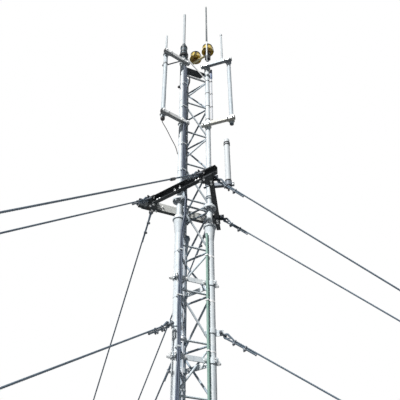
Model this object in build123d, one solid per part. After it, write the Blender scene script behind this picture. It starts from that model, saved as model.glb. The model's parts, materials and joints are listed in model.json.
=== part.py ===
from build123d import *
from math import atan2, cos, degrees, radians, sin, sqrt
import os

# Guyed triangular lattice radio mast, millimetres, +Z up.
# Origin: centre of the base plate's underside. The front face looks along -Y.
# Leg azimuths are counted from +X, turning towards +Y.

# Lattice
FACE_WIDTH = 330.0
BAY = 485.0
JOINT_HALF = 45.0
SECTION_BAY_COUNT = 6
TOP_BAY_COUNT = 4
LEG_OD = 57.0
HEAVY_OD = 76.0
LEG_WALL = 4.0
LEG_CAP_T = 8.0
BAR_OD = 20.0
CROWN_BAR_OD = 28.0
BAR_SIDES = 8
HEAD_STUB = 290.0
FLANGE_OD = 138.0
FLANGE_T = 12.0

# Flared hubs where the heavy legs of the middle section end
HUB_DROP = 235.0
HUB_FLANGE_OD = 128.0
HUB_FLANGE_T = 16.0
HUB_CONE_OD = 112.0
HUB_CONE_LENGTH = 165.0

# Base plate
BASE_T = 25.0
BASE_RADIUS = 360.0
BASE_PCD = 600.0
BASE_HOLES = 6
BASE_HOLE_R = 11.0

# Torsion frame: three channels round the mast, flanges outwards
FRAME_ABOVE_JOINT = 122.0
CHANNEL_H = 90.0
CHANNEL_W = 45.0
CHANNEL_T = 6.0
FRAME_TIP = 495.0
LUG_OFFSET = 328.0
LUG_REACH = 25.0
LUG_T = 10.0
LUG_H = 70.0
LUG_HOLE_R = 13.0
CORNER_PLATE_T = 8.0
CORNER_PLATE_SIDE = 95.0
U_BOLT_D = 10.0
U_BOLT_SPACING = 26.0
NUT_OD = 17.0
NUT_T = 9.0

# Guys
GUY_D = 12.0
RING_R = 28.0
RING_D = 16.0
RING_GAP = 1.0
FERRULE_D = 26.0
FERRULE_LENGTH = 120.0
TURNBUCKLE_D = 34.0
TURNBUCKLE_LENGTH = 300.0
TURNBUCKLE_GAP = 52.0
LOW_GUY_DROP = 1338.0
COLLAR_T = 7.0
COLLAR_H = 46.0
COLLAR_LIFT = 14.0
COLLAR_EAR_H = 54.0
COLLAR_REACH = 62.0

# Ground anchors: radius and azimuth of each eye
ANCHORS = {
    "left": (6970.0, 214.7),
    "right": (6680.0, -33.0),
    "rear": (7850.0, 91.8),
}
EYE_Z = 230.0
EYE_PITCH = 85.0
EYE_MARGIN = 31.0
ANCHOR_PLATE = 340.0
ANCHOR_SETBACK = 61.0
ANCHOR_T = 18.0
FIN_T = 20.0
RIB_T = 12.0
RIB_REACH = 122.0
RIB_RISE = 126.0
ANCHOR_PCD = 380.0
ANCHOR_HOLE_R = 12.0
ANCHOR_HOLES = 4

# Clamp frames below the torsion frame
CLAMP_UPPER_DROP = 902.0
CLAMP_LOWER_DROP = 1660.0
CLAMP_BAND_T = 8.0
CLAMP_BAND_H = 46.0
CLAMP_BAR_T = 10.0
CLAMP_BAR_GAP = 1.0
STUD_D = 32.0
STUD_REACH = 40.0
STUD_AZIMUTH = {"left": 165.0, "right": -5.0, "rear": 80.0}

# Stand-off arms and antenna poles, measured down from the leg tops
ARM_SIZE = 42.0
ARM_WALL = 3.0
ARM_INNER = 58.0
ARM_OUTER = 48.0
ARM_PAD_LENGTH = 88.0
ARM_LEFT_AZ = 193.0
ARM_RIGHT_AZ = -42.4
ARM_LEFT_REACH = 250.0
ARM_RIGHT_REACH = 285.0
ARM_LEFT_LOWER_DROP = 1168.0
ARM_LEFT_UPPER_DROP = 102.0
ARM_RIGHT_LOWER_DROP = 1082.0
ARM_RIGHT_UPPER_DROP = 28.0
SADDLE_D = 12.0
SADDLE_NUT_OD = 19.0
SADDLE_END = 5.0
POLE_OD = 48.0
POLE_WALL = 3.0
POLE_BELOW = 50.0
POLE_ABOVE = 42.0

# Aerials
WHIP_LEFT_D = 18.0
WHIP_LEFT_LENGTH = 340.0
WHIP_PLUG_H = 20.0
WHIP_RIGHT_D = 20.0
WHIP_RIGHT_REACH = 215.0
WHIP_RIGHT_LENGTH = 542.0
WHIP_RIGHT_FOOT_D = 40.0
WHIP_RIGHT_FOOT_H = 30.0
WHIP_RIGHT_RING_D = 30.0
WHIP_RIGHT_RING_H = 18.0
WHIP_RIGHT_RING_DROP = 12.0
WHIP_FOOT_H = 40.0
WHIP_BASE_D = 16.0
WHIP_BASE_LENGTH = 545.0
WHIP_D = 8.0
WHIP_LENGTH = 810.0
ROD_BASE_D = 84.0
ROD_BASE_LENGTH = 260.0
ROD_SHIFT = 16.0
ROD_NECK_LENGTH = 50.0
ROD_D = 33.0
ROD_LENGTH = 665.0
TUBE_REACH = 207.0
TUBE_D = 62.0
TUBE_RISE = 143.0
TUBE_LENGTH = 715.0
TUBE_BRACKET_RISE = 40.0
TUBE_BAND_H = 52.0

# Head plate, stay and beacons
HEAD_PLATE_RISE = 150.0
HEAD_PLATE_T = 10.0
HEAD_PLATE_BACK = 30.0
HEAD_STAY_D = 16.0
HEAD_STAY_RISE = 70.0
HEAD_STAY_GAP = 2.0
BEACON_FACE_AZ = 30.0
BEACON_OUT = 169.0
BEACON_ALONG = {"beacon_inner": 75.0, "beacon_outer": -125.0}
BEACON_BASE_D = 92.0
BEACON_BASE_H = 40.0
BEACON_LENS_H = 92.0
BEACON_LENS_FOOT_D = 140.0
BEACON_LENS_TOP_D = 104.0
BEACON_RISE = 512.0
BEACON_BAR = 30.0
BEACON_BAR_T = 10.0
BEACON_BAR_END = 40.0
STEM_D = 26.0
STEM_FOOT_DROP = 205.0
STEM_CLAMP_DROPS = (85.0, 180.0)
STEM_BAND_T = 6.0
STEM_BAND_H = 34.0
STEM_ARM_T = 14.0

AZIMUTH = {"left": 210.0, "right": -30.0, "rear": 90.0}
FACES = {"front": ("left", "right"), "right": ("right", "rear"), "left": ("rear", "left")}

LEG_RADIUS = FACE_WIDTH / sqrt(3)
FACE_RADIUS = FACE_WIDTH / (2 * sqrt(3))
SECTION = SECTION_BAY_COUNT * BAY + 2 * JOINT_HALF
JOINT_1 = BASE_T + SECTION
JOINT_2 = BASE_T + 2 * SECTION
TOP_LEVEL = JOINT_2 + JOINT_HALF + TOP_BAY_COUNT * BAY
LEG_TOP = TOP_LEVEL + HEAD_STUB
HUB_TOP = JOINT_2 - HUB_DROP
FRAME_Z = JOINT_2 + FRAME_ABOVE_JOINT
LOW_GUY_Z = JOINT_2 - LOW_GUY_DROP
CLAMP_UPPER_Z = JOINT_2 - CLAMP_UPPER_DROP
CLAMP_LOWER_Z = JOINT_2 - CLAMP_LOWER_DROP
HEAD_DECK = TOP_LEVEL + HEAD_PLATE_RISE + HEAD_PLATE_T
WEB_N = LEG_RADIUS + LEG_OD / 2
LUG_N = WEB_N + CHANNEL_W + LUG_REACH


def ring_shift(thickness):
    """How far a ring's centre line lies beyond the hole's centre in a plate this thick."""
    inner = RING_R - RING_D / 2
    bow = inner - sqrt(inner**2 - (thickness / 2) ** 2)
    return LUG_HOLE_R - RING_D / 2 - RING_GAP - bow


def polar(radius, azimuth, z=0.0):
    return Vector(radius * cos(radians(azimuth)), radius * sin(radians(azimuth)), z)


def leg_point(leg, z=0.0):
    return polar(LEG_RADIUS, AZIMUTH[leg], z)


def rod(start, end, diameter):
    along = end - start
    place = Plane(origin=start, z_dir=along.normalized())
    return place * Cylinder(diameter / 2, along.length, align=(Align.CENTER, Align.CENTER, Align.MIN))


def prism(start, end, diameter):
    along = end - start
    place = Plane(origin=start, z_dir=along.normalized())
    return extrude(place * RegularPolygon(diameter / 2, BAR_SIDES), along.length)


def post(point, z_low, z_high, diameter):
    base = Vector(point.X, point.Y, z_low)
    return Pos(*base) * Cylinder(diameter / 2, z_high - z_low, align=(Align.CENTER, Align.CENTER, Align.MIN))


def tube(point, z_low, z_high, outer, wall):
    return post(point, z_low, z_high, outer) - post(point, z_low, z_high, outer - 2 * wall)


def local(azimuth, z=0.0):
    """Placement whose X points along the azimuth, on the mast's axis."""
    return Pos(0, 0, z) * Rot(0, 0, azimuth)


def write(name, *solids):
    pieces = []
    for item in solids:
        pieces.extend(item.solids())
    shape = pieces[0] if len(pieces) == 1 else Compound(children=pieces)
    export_step(shape, f"parts/{name}.step")


# Legs: each section is a tube with a bolting flange at its ends
def turned(outline):
    """Solid of revolution from (radius, height) corners."""
    return revolve(make_face(Polyline([Vector(r, 0, z) for r, z in outline], close=True)), Axis.Z)


def flange_below(z, tube_od):
    return [(tube_od / 2, z - FLANGE_T), (FLANGE_OD / 2, z - FLANGE_T), (FLANGE_OD / 2, z)]


def flange_above(z, tube_od):
    return [(FLANGE_OD / 2, z), (FLANGE_OD / 2, z + FLANGE_T), (tube_od / 2, z + FLANGE_T)]


def lower_leg():
    bore = HEAVY_OD / 2 - LEG_WALL
    outside = flange_above(BASE_T, HEAVY_OD) + flange_below(JOINT_1, HEAVY_OD)
    return outside, [(bore, JOINT_1), (bore, BASE_T)]


def middle_leg():
    heavy_bore = HEAVY_OD / 2 - LEG_WALL
    bore = LEG_OD / 2 - LEG_WALL
    hub_seat = HUB_TOP - HUB_FLANGE_T
    cone_foot = hub_seat - HUB_CONE_LENGTH
    outside = flange_above(JOINT_1, HEAVY_OD)
    outside += [(HEAVY_OD / 2, cone_foot), (HUB_CONE_OD / 2, hub_seat)]
    outside += [(HUB_FLANGE_OD / 2, hub_seat), (HUB_FLANGE_OD / 2, HUB_TOP), (LEG_OD / 2, HUB_TOP)]
    outside += flange_below(JOINT_2, LEG_OD)
    return outside, [(bore, JOINT_2), (bore, hub_seat), (heavy_bore, cone_foot), (heavy_bore, JOINT_1)]


def upper_leg():
    bore = LEG_OD / 2 - LEG_WALL
    outside = flange_above(JOINT_2, LEG_OD) + [(LEG_OD / 2, LEG_TOP)]
    return outside, [(0, LEG_TOP), (0, LEG_TOP - LEG_CAP_T), (bore, LEG_TOP - LEG_CAP_T), (bore, JOINT_2)]


SECTIONS = {
    "lower": (BASE_T, SECTION_BAY_COUNT, lower_leg),
    "middle": (JOINT_1, SECTION_BAY_COUNT, middle_leg),
    "upper": (JOINT_2, TOP_BAY_COUNT, upper_leg),
}


def make_legs():
    """Writes the legs, and returns each one filled, to cut the bars with."""
    blanks = {}
    for section, (foot, bays, profile) in SECTIONS.items():
        outside, inside = profile()
        leg_tube = turned(outside + inside)
        leg_blank = turned(outside + [(0, outside[-1][1]), (0, outside[0][1])])
        for leg in AZIMUTH:
            place = Pos(*leg_point(leg))
            write(f"leg_{leg}_{section}", place * leg_tube)
            blanks[leg, section] = place * leg_blank
    return blanks


# Bracing: one horizontal a level and one diagonal a bay on each face
def make_bracing(blanks):
    falls_to_end = {"upper": False, "middle": True, "lower": True}
    for section, (foot, bays, profile) in SECTIONS.items():
        for face, (start, end) in FACES.items():
            a = leg_point(start)
            b = leg_point(end)
            top = foot + JOINT_HALF + bays * BAY
            bars = []
            for level in range(bays + 1):
                z = Vector(0, 0, top - level * BAY)
                crown = level == 0 and section == "upper" and face == "front"
                bars.append(prism(a + z, b + z, CROWN_BAR_OD if crown else BAR_OD))
            for bay in range(bays):
                high = Vector(0, 0, top - bay * BAY)
                low = high - Vector(0, 0, BAY)
                to_end = falls_to_end[section] == (bay % 2 == 0)
                ends = (a + high, b + low) if to_end else (b + high, a + low)
                bars.append(prism(*ends, BAR_OD))
            legs = [blanks[start, section], blanks[end, section]]
            write(f"bracing_{face}_{section}", *[bar - legs for bar in bars])


def make_base():
    plate = extrude(RegularPolygon(BASE_RADIUS, 6), BASE_T)
    holes = PolarLocations(BASE_PCD / 2, BASE_HOLES) * Cylinder(BASE_HOLE_R, 3 * BASE_T)
    write("base_plate", plate - holes)


# Torsion frame
def half_space(azimuth, reach):
    """Block that fills everything beyond reach from the axis along the azimuth."""
    size = 4 * FRAME_TIP
    block = Box(size, size, size, align=(Align.MIN, Align.CENTER, Align.CENTER))
    return local(azimuth) * Pos(reach, 0, FRAME_Z) * block


def lug(offset):
    """Eye plate across the channel's recess, with its hole beyond the flanges."""
    length = LUG_REACH + CHANNEL_W - CHANNEL_T + 2 * LUG_HOLE_R
    low = (Align.MIN, Align.CENTER, Align.CENTER)
    plate = Pos(WEB_N + CHANNEL_T, offset, 0) * Box(length, LUG_T, LUG_H, align=low)
    eye = Pos(LUG_N, offset, 0) * Rot(90, 0, 0) * Cylinder(LUG_HOLE_R, 4 * LUG_T)
    return plate - eye


def make_frame():
    low = (Align.MIN, Align.CENTER, Align.CENTER)
    for leg, azimuth in AZIMUTH.items():
        length = 2 * FRAME_TIP
        outer = Box(CHANNEL_W, length, CHANNEL_H, align=low)
        recess = Pos(CHANNEL_T, 0, 0) * Box(CHANNEL_W, length, CHANNEL_H - 2 * CHANNEL_T, align=low)
        channel = Pos(WEB_N, 0, 0) * (outer - recess)
        for offset in (-LUG_OFFSET, LUG_OFFSET):
            channel += lug(offset)
        for z in (0, U_BOLT_SPACING):
            for side in u_bolt_sides():
                hole = Pos(WEB_N, side, z) * Rot(0, 90, 0) * Cylinder(U_BOLT_D / 2 + 1, 4 * CHANNEL_T)
                channel -= hole
        beam = local(azimuth, FRAME_Z) * channel
        beam -= half_space(azimuth - 120, WEB_N)
        write(f"torsion_beam_{leg}", beam)


def u_bolt_sides():
    side = (LEG_OD + U_BOLT_D) / 2
    return (-side, side)


def u_bolt(z):
    """U-bolt round a leg, with its two ends and nuts through the channel's web."""
    side = (LEG_OD + U_BOLT_D) / 2
    end = WEB_N + CHANNEL_T + NUT_T + U_BOLT_D / 2
    back = LEG_RADIUS
    ring = Pos(back, 0, z) * Torus(side, U_BOLT_D / 2)
    keep = Pos(back, 0, z) * Box(4 * side, 4 * side, 4 * U_BOLT_D, align=(Align.MAX, Align.CENTER, Align.CENTER))
    bolt = ring & keep
    for y in (-side, side):
        bolt += rod(Vector(back, y, z), Vector(end, y, z), U_BOLT_D)
        nut_seat = Vector(WEB_N + CHANNEL_T, y, z)
        bolt += rod(nut_seat, nut_seat + Vector(NUT_T, 0, 0), NUT_OD)
    return bolt


def make_frame_clamps():
    bolts = []
    for azimuth in AZIMUTH.values():
        for z in (0, U_BOLT_SPACING):
            bolts.append(local(azimuth, FRAME_Z) * u_bolt(z))
    write("frame_u_bolts", *bolts)


def make_corner_plates():
    """Gusset plates over and under each corner of the torsion frame."""
    plates = []
    for leg, azimuth in AZIMUTH.items():
        corner = polar(2 * WEB_N, azimuth + 60)
        along_beam = corner + polar(CORNER_PLATE_SIDE, azimuth - 90)
        along_next = corner + polar(CORNER_PLATE_SIDE, azimuth + 210)
        points = [
            corner + polar(2 * CHANNEL_W, azimuth + 60),
            along_beam + polar(CHANNEL_W, azimuth),
            along_beam,
            along_next,
            along_next + polar(CHANNEL_W, azimuth + 120),
        ]
        outline = make_face(Polyline(points, close=True))
        sheet = extrude(outline, CORNER_PLATE_T, dir=(0, 0, 1))
        plates.append(Pos(0, 0, FRAME_Z + CHANNEL_H / 2) * sheet)
        plates.append(Pos(0, 0, FRAME_Z - CHANNEL_H / 2 - CORNER_PLATE_T) * sheet)
    write("frame_corner_plates", *plates)


# Clamp frames: a pipe band on each leg, a flat bar on each face, and a stud out of each band
def make_clamp_frame(name, z, leg_od):
    band_od = leg_od + 2 * CLAMP_BAND_T
    frame = None
    bores = []
    for leg, azimuth in AZIMUTH.items():
        centre = leg_point(leg)
        band = post(centre, z - CLAMP_BAND_H / 2, z + CLAMP_BAND_H / 2, band_od)
        at = leg_point(leg, z)
        out = polar(leg_od / 2 + STUD_REACH, STUD_AZIMUTH[leg])
        piece = band + rod(at, at + out, STUD_D)
        frame = piece if frame is None else frame + piece
        bores.append(post(centre, z - 2 * CLAMP_BAND_H, z + 2 * CLAMP_BAND_H, leg_od))
    for face, (start, end) in FACES.items():
        azimuth = AZIMUTH[start] + 60
        n = FACE_RADIUS + BAR_OD / 2 + CLAMP_BAR_GAP
        bar = Box(CLAMP_BAR_T, FACE_WIDTH, CLAMP_BAND_H, align=(Align.MIN, Align.CENTER, Align.CENTER))
        frame += local(azimuth, z) * Pos(n, 0, 0) * bar
    write(name, frame - bores)


# Collars that hold the lower guys on the heavy legs
def low_guy_direction(leg):
    radius, azimuth = ANCHORS[leg]
    return (low_eye(leg) - leg_point(leg, LOW_GUY_Z)).normalized()


def make_guy_collars():
    collars = []
    for leg in AZIMUTH:
        direction = low_guy_direction(leg)
        eye = leg_point(leg, LOW_GUY_Z) + direction * (HEAVY_OD / 2 + COLLAR_REACH)
        z = eye.Z
        centre = leg_point(leg)
        heading = degrees(atan2(direction.Y, direction.X))
        low = z + COLLAR_LIFT - COLLAR_H / 2
        band = post(centre, low, low + COLLAR_H, HEAVY_OD + 2 * COLLAR_T)
        reach = (Vector(eye.X, eye.Y) - Vector(centre.X, centre.Y)).length + 2 * LUG_HOLE_R
        ear = Box(reach, LUG_T, COLLAR_EAR_H, align=(Align.MIN, Align.CENTER, Align.CENTER))
        ear = Pos(centre.X, centre.Y, z) * Rot(0, 0, heading) * ear
        hole = Pos(*eye) * Rot(0, 0, heading) * Rot(90, 0, 0) * Cylinder(LUG_HOLE_R, 6 * LUG_T)
        bore = post(centre, z - 2 * COLLAR_H, z + 2 * COLLAR_H, HEAVY_OD)
        collars.append(band + ear - hole - bore)
    write("guy_collars", *collars)


# Ground anchors
def eye_offsets(leg):
    """Eyes of one anchor: the two upper guys outside, the lower guy inside."""
    radius, azimuth = ANCHORS[leg]
    rise = atan2(FRAME_Z - EYE_Z, radius)
    step = Vector(sin(rise), 0, cos(rise)) * EYE_PITCH
    return {"second": step, "first": Vector(0, 0, 0), "low": step * -1}


def eye_point(leg, which):
    radius, azimuth = ANCHORS[leg]
    offset = eye_offsets(leg)[which]
    return polar(radius + offset.X, azimuth, EYE_Z + offset.Z)


def low_eye(leg):
    return eye_point(leg, "low")


def make_anchor(leg):
    radius, azimuth = ANCHORS[leg]
    offsets = eye_offsets(leg)
    top = offsets["second"]
    low = offsets["low"]
    unit = top.normalized() * EYE_MARGIN
    centre_x = radius + ANCHOR_SETBACK
    plate = Pos(centre_x, 0, 0) * extrude(RectangleRounded(ANCHOR_PLATE, ANCHOR_PLATE, FIN_T), ANCHOR_T)
    eye = Vector(radius, 0, EYE_Z)
    forward = Vector(-EYE_MARGIN, 0, 0)
    points = [
        eye + low - unit + forward,
        eye + top + unit + forward,
        eye + top + unit - forward,
        Vector(centre_x + ANCHOR_PLATE / 2 - FIN_T, 0, ANCHOR_T),
        Vector(centre_x - ANCHOR_PLATE / 2 + FIN_T, 0, ANCHOR_T),
    ]
    fin = extrude(make_face(Polyline(points, close=True)), FIN_T / 2, dir=(0, 1, 0), both=True)
    body = plate + fin
    for side in (-1, 1):
        rib = Pos(centre_x + 2 * FIN_T, side * FIN_T / 2, ANCHOR_T) * rib_plate(side)
        body += rib
    for offset in offsets.values():
        spot = eye + offset
        body -= Pos(*spot) * Rot(90, 0, 0) * Cylinder(LUG_HOLE_R, 4 * FIN_T)
    for spot in PolarLocations(ANCHOR_PCD / 2, ANCHOR_HOLES, start_angle=45):
        body -= Pos(centre_x, 0, 0) * spot * Cylinder(ANCHOR_HOLE_R, 4 * ANCHOR_T)
    write(f"anchor_{leg}", Rot(0, 0, azimuth) * body)


def rib_plate(side):
    """Triangular rib that props the fin on the anchor plate."""
    points = [Vector(0, 0, 0), Vector(0, side * RIB_REACH, 0), Vector(0, 0, RIB_RISE)]
    return extrude(make_face(Polyline(points, close=True)), RIB_T / 2, dir=(1, 0, 0), both=True)


# Guys
def make_guy(name, top_eye, bottom_eye):
    """Taut stay: ring, ferrule, strand, turnbuckle and ring, from eye to eye."""
    along = (bottom_eye - top_eye).normalized()
    start = top_eye + along * ring_shift(LUG_T)
    end = bottom_eye - along * ring_shift(FIN_T)
    side = Vector(0, 0, 1).cross(along).normalized()
    normal = side.cross(along)
    centre_top = start + along * RING_R
    centre_end = end - along * RING_R
    shape = None
    for centre in (centre_top, centre_end):
        ring = Plane(origin=centre, x_dir=side, z_dir=normal) * Torus(RING_R, RING_D / 2)
        shape = ring if shape is None else shape + ring
    strand_start = centre_top + along * RING_R
    strand_end = centre_end - along * RING_R
    shape += rod(strand_start, strand_end, GUY_D)
    shape += rod(strand_start, strand_start + along * FERRULE_LENGTH, FERRULE_D)
    buckle_end = strand_end - along * TURNBUCKLE_GAP
    shape += rod(buckle_end - along * TURNBUCKLE_LENGTH, buckle_end, TURNBUCKLE_D)
    write(name, shape)


def make_guys():
    for leg, azimuth in AZIMUTH.items():
        place = local(azimuth, FRAME_Z)
        radius, anchor_azimuth = ANCHORS[leg]
        for which, side in (("first", -1), ("second", 1)):
            top = (place * Pos(LUG_N, side * LUG_OFFSET, 0)).position
            make_guy(f"guy_{leg}_{which}", top, eye_point(leg, which))
        direction = low_guy_direction(leg)
        top = leg_point(leg, LOW_GUY_Z) + direction * (HEAVY_OD / 2 + COLLAR_REACH)
        make_guy(f"guy_{leg}_low", top, low_eye(leg))


# Stand-off arms, each clamped beside its leg, with the pole clamped to its outer end
def arm_place(leg, azimuth, z):
    at = leg_point(leg, z)
    return Pos(*at) * Rot(0, 0, azimuth)


def arm_side(azimuth):
    """The arm runs on the front side of its leg and pole."""
    return -1 if cos(radians(azimuth)) > 0 else 1


def saddle(reach, side, diameter, pad):
    """U-bolt that holds an upright of this diameter against the arm."""
    gap = (diameter + SADDLE_D) / 2
    ring = Pos(reach, 0, 0) * Torus(gap, SADDLE_D / 2)
    keep_align = (Align.CENTER, Align.MAX if side > 0 else Align.MIN, Align.CENTER)
    bolt = ring & (Pos(reach, 0, 0) * Box(4 * gap, 4 * gap, 4 * SADDLE_D, align=keep_align))
    far = side * (pad + ARM_SIZE + NUT_T + SADDLE_END)
    for x in (reach - gap, reach + gap):
        bolt += rod(Vector(x, 0, 0), Vector(x, far, 0), SADDLE_D)
        seat = Vector(x, side * (pad + ARM_SIZE), 0)
        bolt += rod(seat, seat + Vector(0, side * NUT_T, 0), SADDLE_NUT_OD)
    return bolt


def make_arm(name, leg, azimuth, reach, z):
    side = arm_side(azimuth)
    pad = LEG_OD / 2
    length = ARM_INNER + reach + ARM_OUTER
    y = side * (pad + ARM_SIZE / 2)
    low = (Align.MIN, Align.CENTER, Align.CENTER)
    bar = Pos(-ARM_INNER, y, 0) * Box(length, ARM_SIZE, ARM_SIZE, align=low)
    bar -= Pos(-ARM_INNER + ARM_WALL, y, 0) * Box(
        length - 2 * ARM_WALL, ARM_SIZE - 2 * ARM_WALL, ARM_SIZE - 2 * ARM_WALL, align=low
    )
    bar += saddle(0, side, LEG_OD, pad)
    gap = (LEG_OD - POLE_OD) / 2
    if gap > 0:
        shim_y = side * (pad - gap / 2)
        bar += Pos(reach, shim_y, 0) * Box(ARM_PAD_LENGTH, gap, ARM_SIZE)
    bar += saddle(reach, side, POLE_OD, pad)
    write(name, arm_place(leg, azimuth, z) * bar)


def pole_point(leg, azimuth, reach):
    return leg_point(leg) + polar(reach, azimuth)


ARM_LEFT_Z = (LEG_TOP - ARM_LEFT_LOWER_DROP, LEG_TOP - ARM_LEFT_UPPER_DROP)
ARM_RIGHT_Z = (LEG_TOP - ARM_RIGHT_LOWER_DROP, LEG_TOP - ARM_RIGHT_UPPER_DROP)


def make_arms_and_poles():
    arms = {
        "left": (ARM_LEFT_AZ, ARM_LEFT_REACH, ARM_LEFT_Z),
        "right": (ARM_RIGHT_AZ, ARM_RIGHT_REACH, ARM_RIGHT_Z),
    }
    for leg, (azimuth, reach, (lower, upper)) in arms.items():
        make_arm(f"arm_{leg}_lower", leg, azimuth, reach, lower)
        make_arm(f"arm_{leg}_upper", leg, azimuth, reach, upper)
        spot = pole_point(leg, azimuth, reach)
        write(f"pole_{leg}", tube(spot, lower - POLE_BELOW, upper + POLE_ABOVE, POLE_OD, POLE_WALL))


def make_aerials():
    left = pole_point("left", ARM_LEFT_AZ, ARM_LEFT_REACH)
    foot = ARM_LEFT_Z[1] + POLE_ABOVE
    plug = post(left, foot, foot + WHIP_PLUG_H, POLE_OD)
    write("whip_left", plug + post(left, foot, foot + WHIP_LEFT_LENGTH, WHIP_LEFT_D))

    spot = pole_point("right", ARM_RIGHT_AZ, WHIP_RIGHT_REACH)
    spot += polar(arm_side(ARM_RIGHT_AZ) * (LEG_OD + ARM_SIZE) / 2, ARM_RIGHT_AZ + 90)
    seat = ARM_RIGHT_Z[1] + ARM_SIZE / 2
    top = seat + WHIP_RIGHT_LENGTH
    ring_top = top - WHIP_RIGHT_RING_DROP
    body = post(spot, seat, seat + WHIP_RIGHT_FOOT_H, WHIP_RIGHT_FOOT_D)
    body += post(spot, seat, top, WHIP_RIGHT_D)
    body += post(spot, ring_top - WHIP_RIGHT_RING_H, ring_top, WHIP_RIGHT_RING_D)
    write("whip_right", body)

    corner = leg_point("right")
    base_top = LEG_TOP + WHIP_BASE_LENGTH
    body = post(corner, LEG_TOP, LEG_TOP + WHIP_FOOT_H, LEG_OD)
    body += post(corner, LEG_TOP, base_top, WHIP_BASE_D)
    body += post(corner, base_top, base_top + WHIP_LENGTH, WHIP_D)
    write("whip_centre", body)

    corner = rod_point()
    base_top = LEG_TOP + ROD_BASE_LENGTH
    neck_top = base_top + ROD_NECK_LENGTH
    neck = Cone(ROD_BASE_D / 2, ROD_D / 2, ROD_NECK_LENGTH, align=(Align.CENTER, Align.CENTER, Align.MIN))
    body = post(corner, LEG_TOP, base_top, ROD_BASE_D) + Pos(corner.X, corner.Y, base_top) * neck
    write("rod_aerial_base", body)
    write("rod_aerial", post(corner, neck_top, neck_top + ROD_LENGTH, ROD_D))

    spot = pole_point("right", AZIMUTH["right"], TUBE_REACH)
    foot = FRAME_Z + TUBE_RISE
    shoulder = foot + TUBE_LENGTH - TUBE_D / 2
    body = post(spot, foot, shoulder, TUBE_D) + Pos(spot.X, spot.Y, shoulder) * Sphere(TUBE_D / 2)
    write("tube_aerial", body)
    make_tube_bracket(foot + TUBE_BRACKET_RISE)


def rod_point():
    """The rod aerial stands a little inwards of its leg."""
    return leg_point("left") + polar(ROD_SHIFT, AZIMUTH["left"] + 180)


def make_tube_bracket(z):
    """Short arm from the right leg out to the tube aerial's foot."""
    low = (Align.MIN, Align.CENTER, Align.CENTER)
    start = LEG_OD / 2
    length = TUBE_REACH - TUBE_D / 2 - start
    bar = Pos(start, 0, 0) * Box(length, ARM_SIZE, ARM_SIZE, align=low)
    bands = [
        Cylinder(LEG_OD / 2 + CLAMP_BAND_T, TUBE_BAND_H),
        Pos(TUBE_REACH, 0, 0) * Cylinder(TUBE_D / 2 + CLAMP_BAND_T, TUBE_BAND_H),
    ]
    bores = [
        Cylinder(LEG_OD / 2, 2 * TUBE_BAND_H),
        Pos(TUBE_REACH, 0, 0) * Cylinder(TUBE_D / 2, 2 * TUBE_BAND_H),
    ]
    bracket = bar + bands - bores
    write("tube_aerial_bracket", arm_place("right", AZIMUTH["right"], z) * bracket)


def make_head():
    """Plate between the legs, scooped round the front two, and the stay rod."""
    full = Rot(0, 0, 90) * RegularPolygon(LEG_RADIUS, 3)
    front = Pos(0, HEAD_PLATE_BACK) * Rectangle(2 * FACE_WIDTH, FACE_WIDTH, align=(Align.CENTER, Align.MAX))
    plate = Pos(0, 0, HEAD_DECK - HEAD_PLATE_T) * extrude(full & front, HEAD_PLATE_T)
    for leg in AZIMUTH:
        plate -= post(leg_point(leg), TOP_LEVEL, LEG_TOP, LEG_OD)
    write("head_plate", plate)

    foot = leg_point("right", TOP_LEVEL) - Vector(0, HEAD_STAY_D / 2 + HEAD_STAY_GAP, 0)
    head = Vector(rod_point().X, foot.Y, LEG_TOP + HEAD_STAY_RISE)
    stay = rod(foot, head, HEAD_STAY_D)
    stay -= post(leg_point("right"), JOINT_2, LEG_TOP, LEG_OD)
    stay -= post(rod_point(), LEG_TOP, LEG_TOP + ROD_BASE_LENGTH, ROD_BASE_D)
    write("head_stay", stay)


def beacon_spot(name, z=0.0):
    return (local(BEACON_FACE_AZ, z) * Pos(BEACON_OUT, BEACON_ALONG[name], 0)).position


def make_beacons():
    """Two beacons on a bar outside the right face."""
    seat = HEAD_DECK + BEACON_RISE
    stand = (Align.CENTER, Align.CENTER, Align.MIN)
    lens = Cone(BEACON_LENS_FOOT_D / 2, BEACON_LENS_TOP_D / 2, BEACON_LENS_H, align=stand)
    for name in BEACON_ALONG:
        base = Cylinder(BEACON_BASE_D / 2, BEACON_BASE_H, align=stand)
        write(name, Pos(*beacon_spot(name, seat)) * (base + Pos(0, 0, BEACON_BASE_H) * lens))
    first, last = sorted(BEACON_ALONG.values())
    length = last - first + 2 * BEACON_BAR_END
    low = (Align.CENTER, Align.MIN, Align.MAX)
    bar = Pos(BEACON_OUT, first - BEACON_BAR_END, 0) * Box(BEACON_BAR, length, BEACON_BAR_T, align=low)
    write("beacon_bracket", local(BEACON_FACE_AZ, seat) * bar)


def make_beacon_stem():
    """Upright under the beacons' bar, clamped twice to the right leg."""
    spot = beacon_spot("beacon_outer")
    run = spot - leg_point("right")
    heading = degrees(atan2(run.Y, run.X))
    stem = post(spot, LEG_TOP - STEM_FOOT_DROP, HEAD_DECK + BEACON_RISE - BEACON_BAR_T, STEM_D)
    low = (Align.MIN, Align.CENTER, Align.CENTER)
    for drop in STEM_CLAMP_DROPS:
        arm = Box(run.length, STEM_ARM_T, STEM_BAND_H, align=low)
        clamp = arm + Cylinder(LEG_OD / 2 + STEM_BAND_T, STEM_BAND_H) - Cylinder(LEG_OD / 2, 2 * STEM_BAND_H)
        stem += arm_place("right", heading, LEG_TOP - drop) * clamp
    write("beacon_stem", stem)


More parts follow.
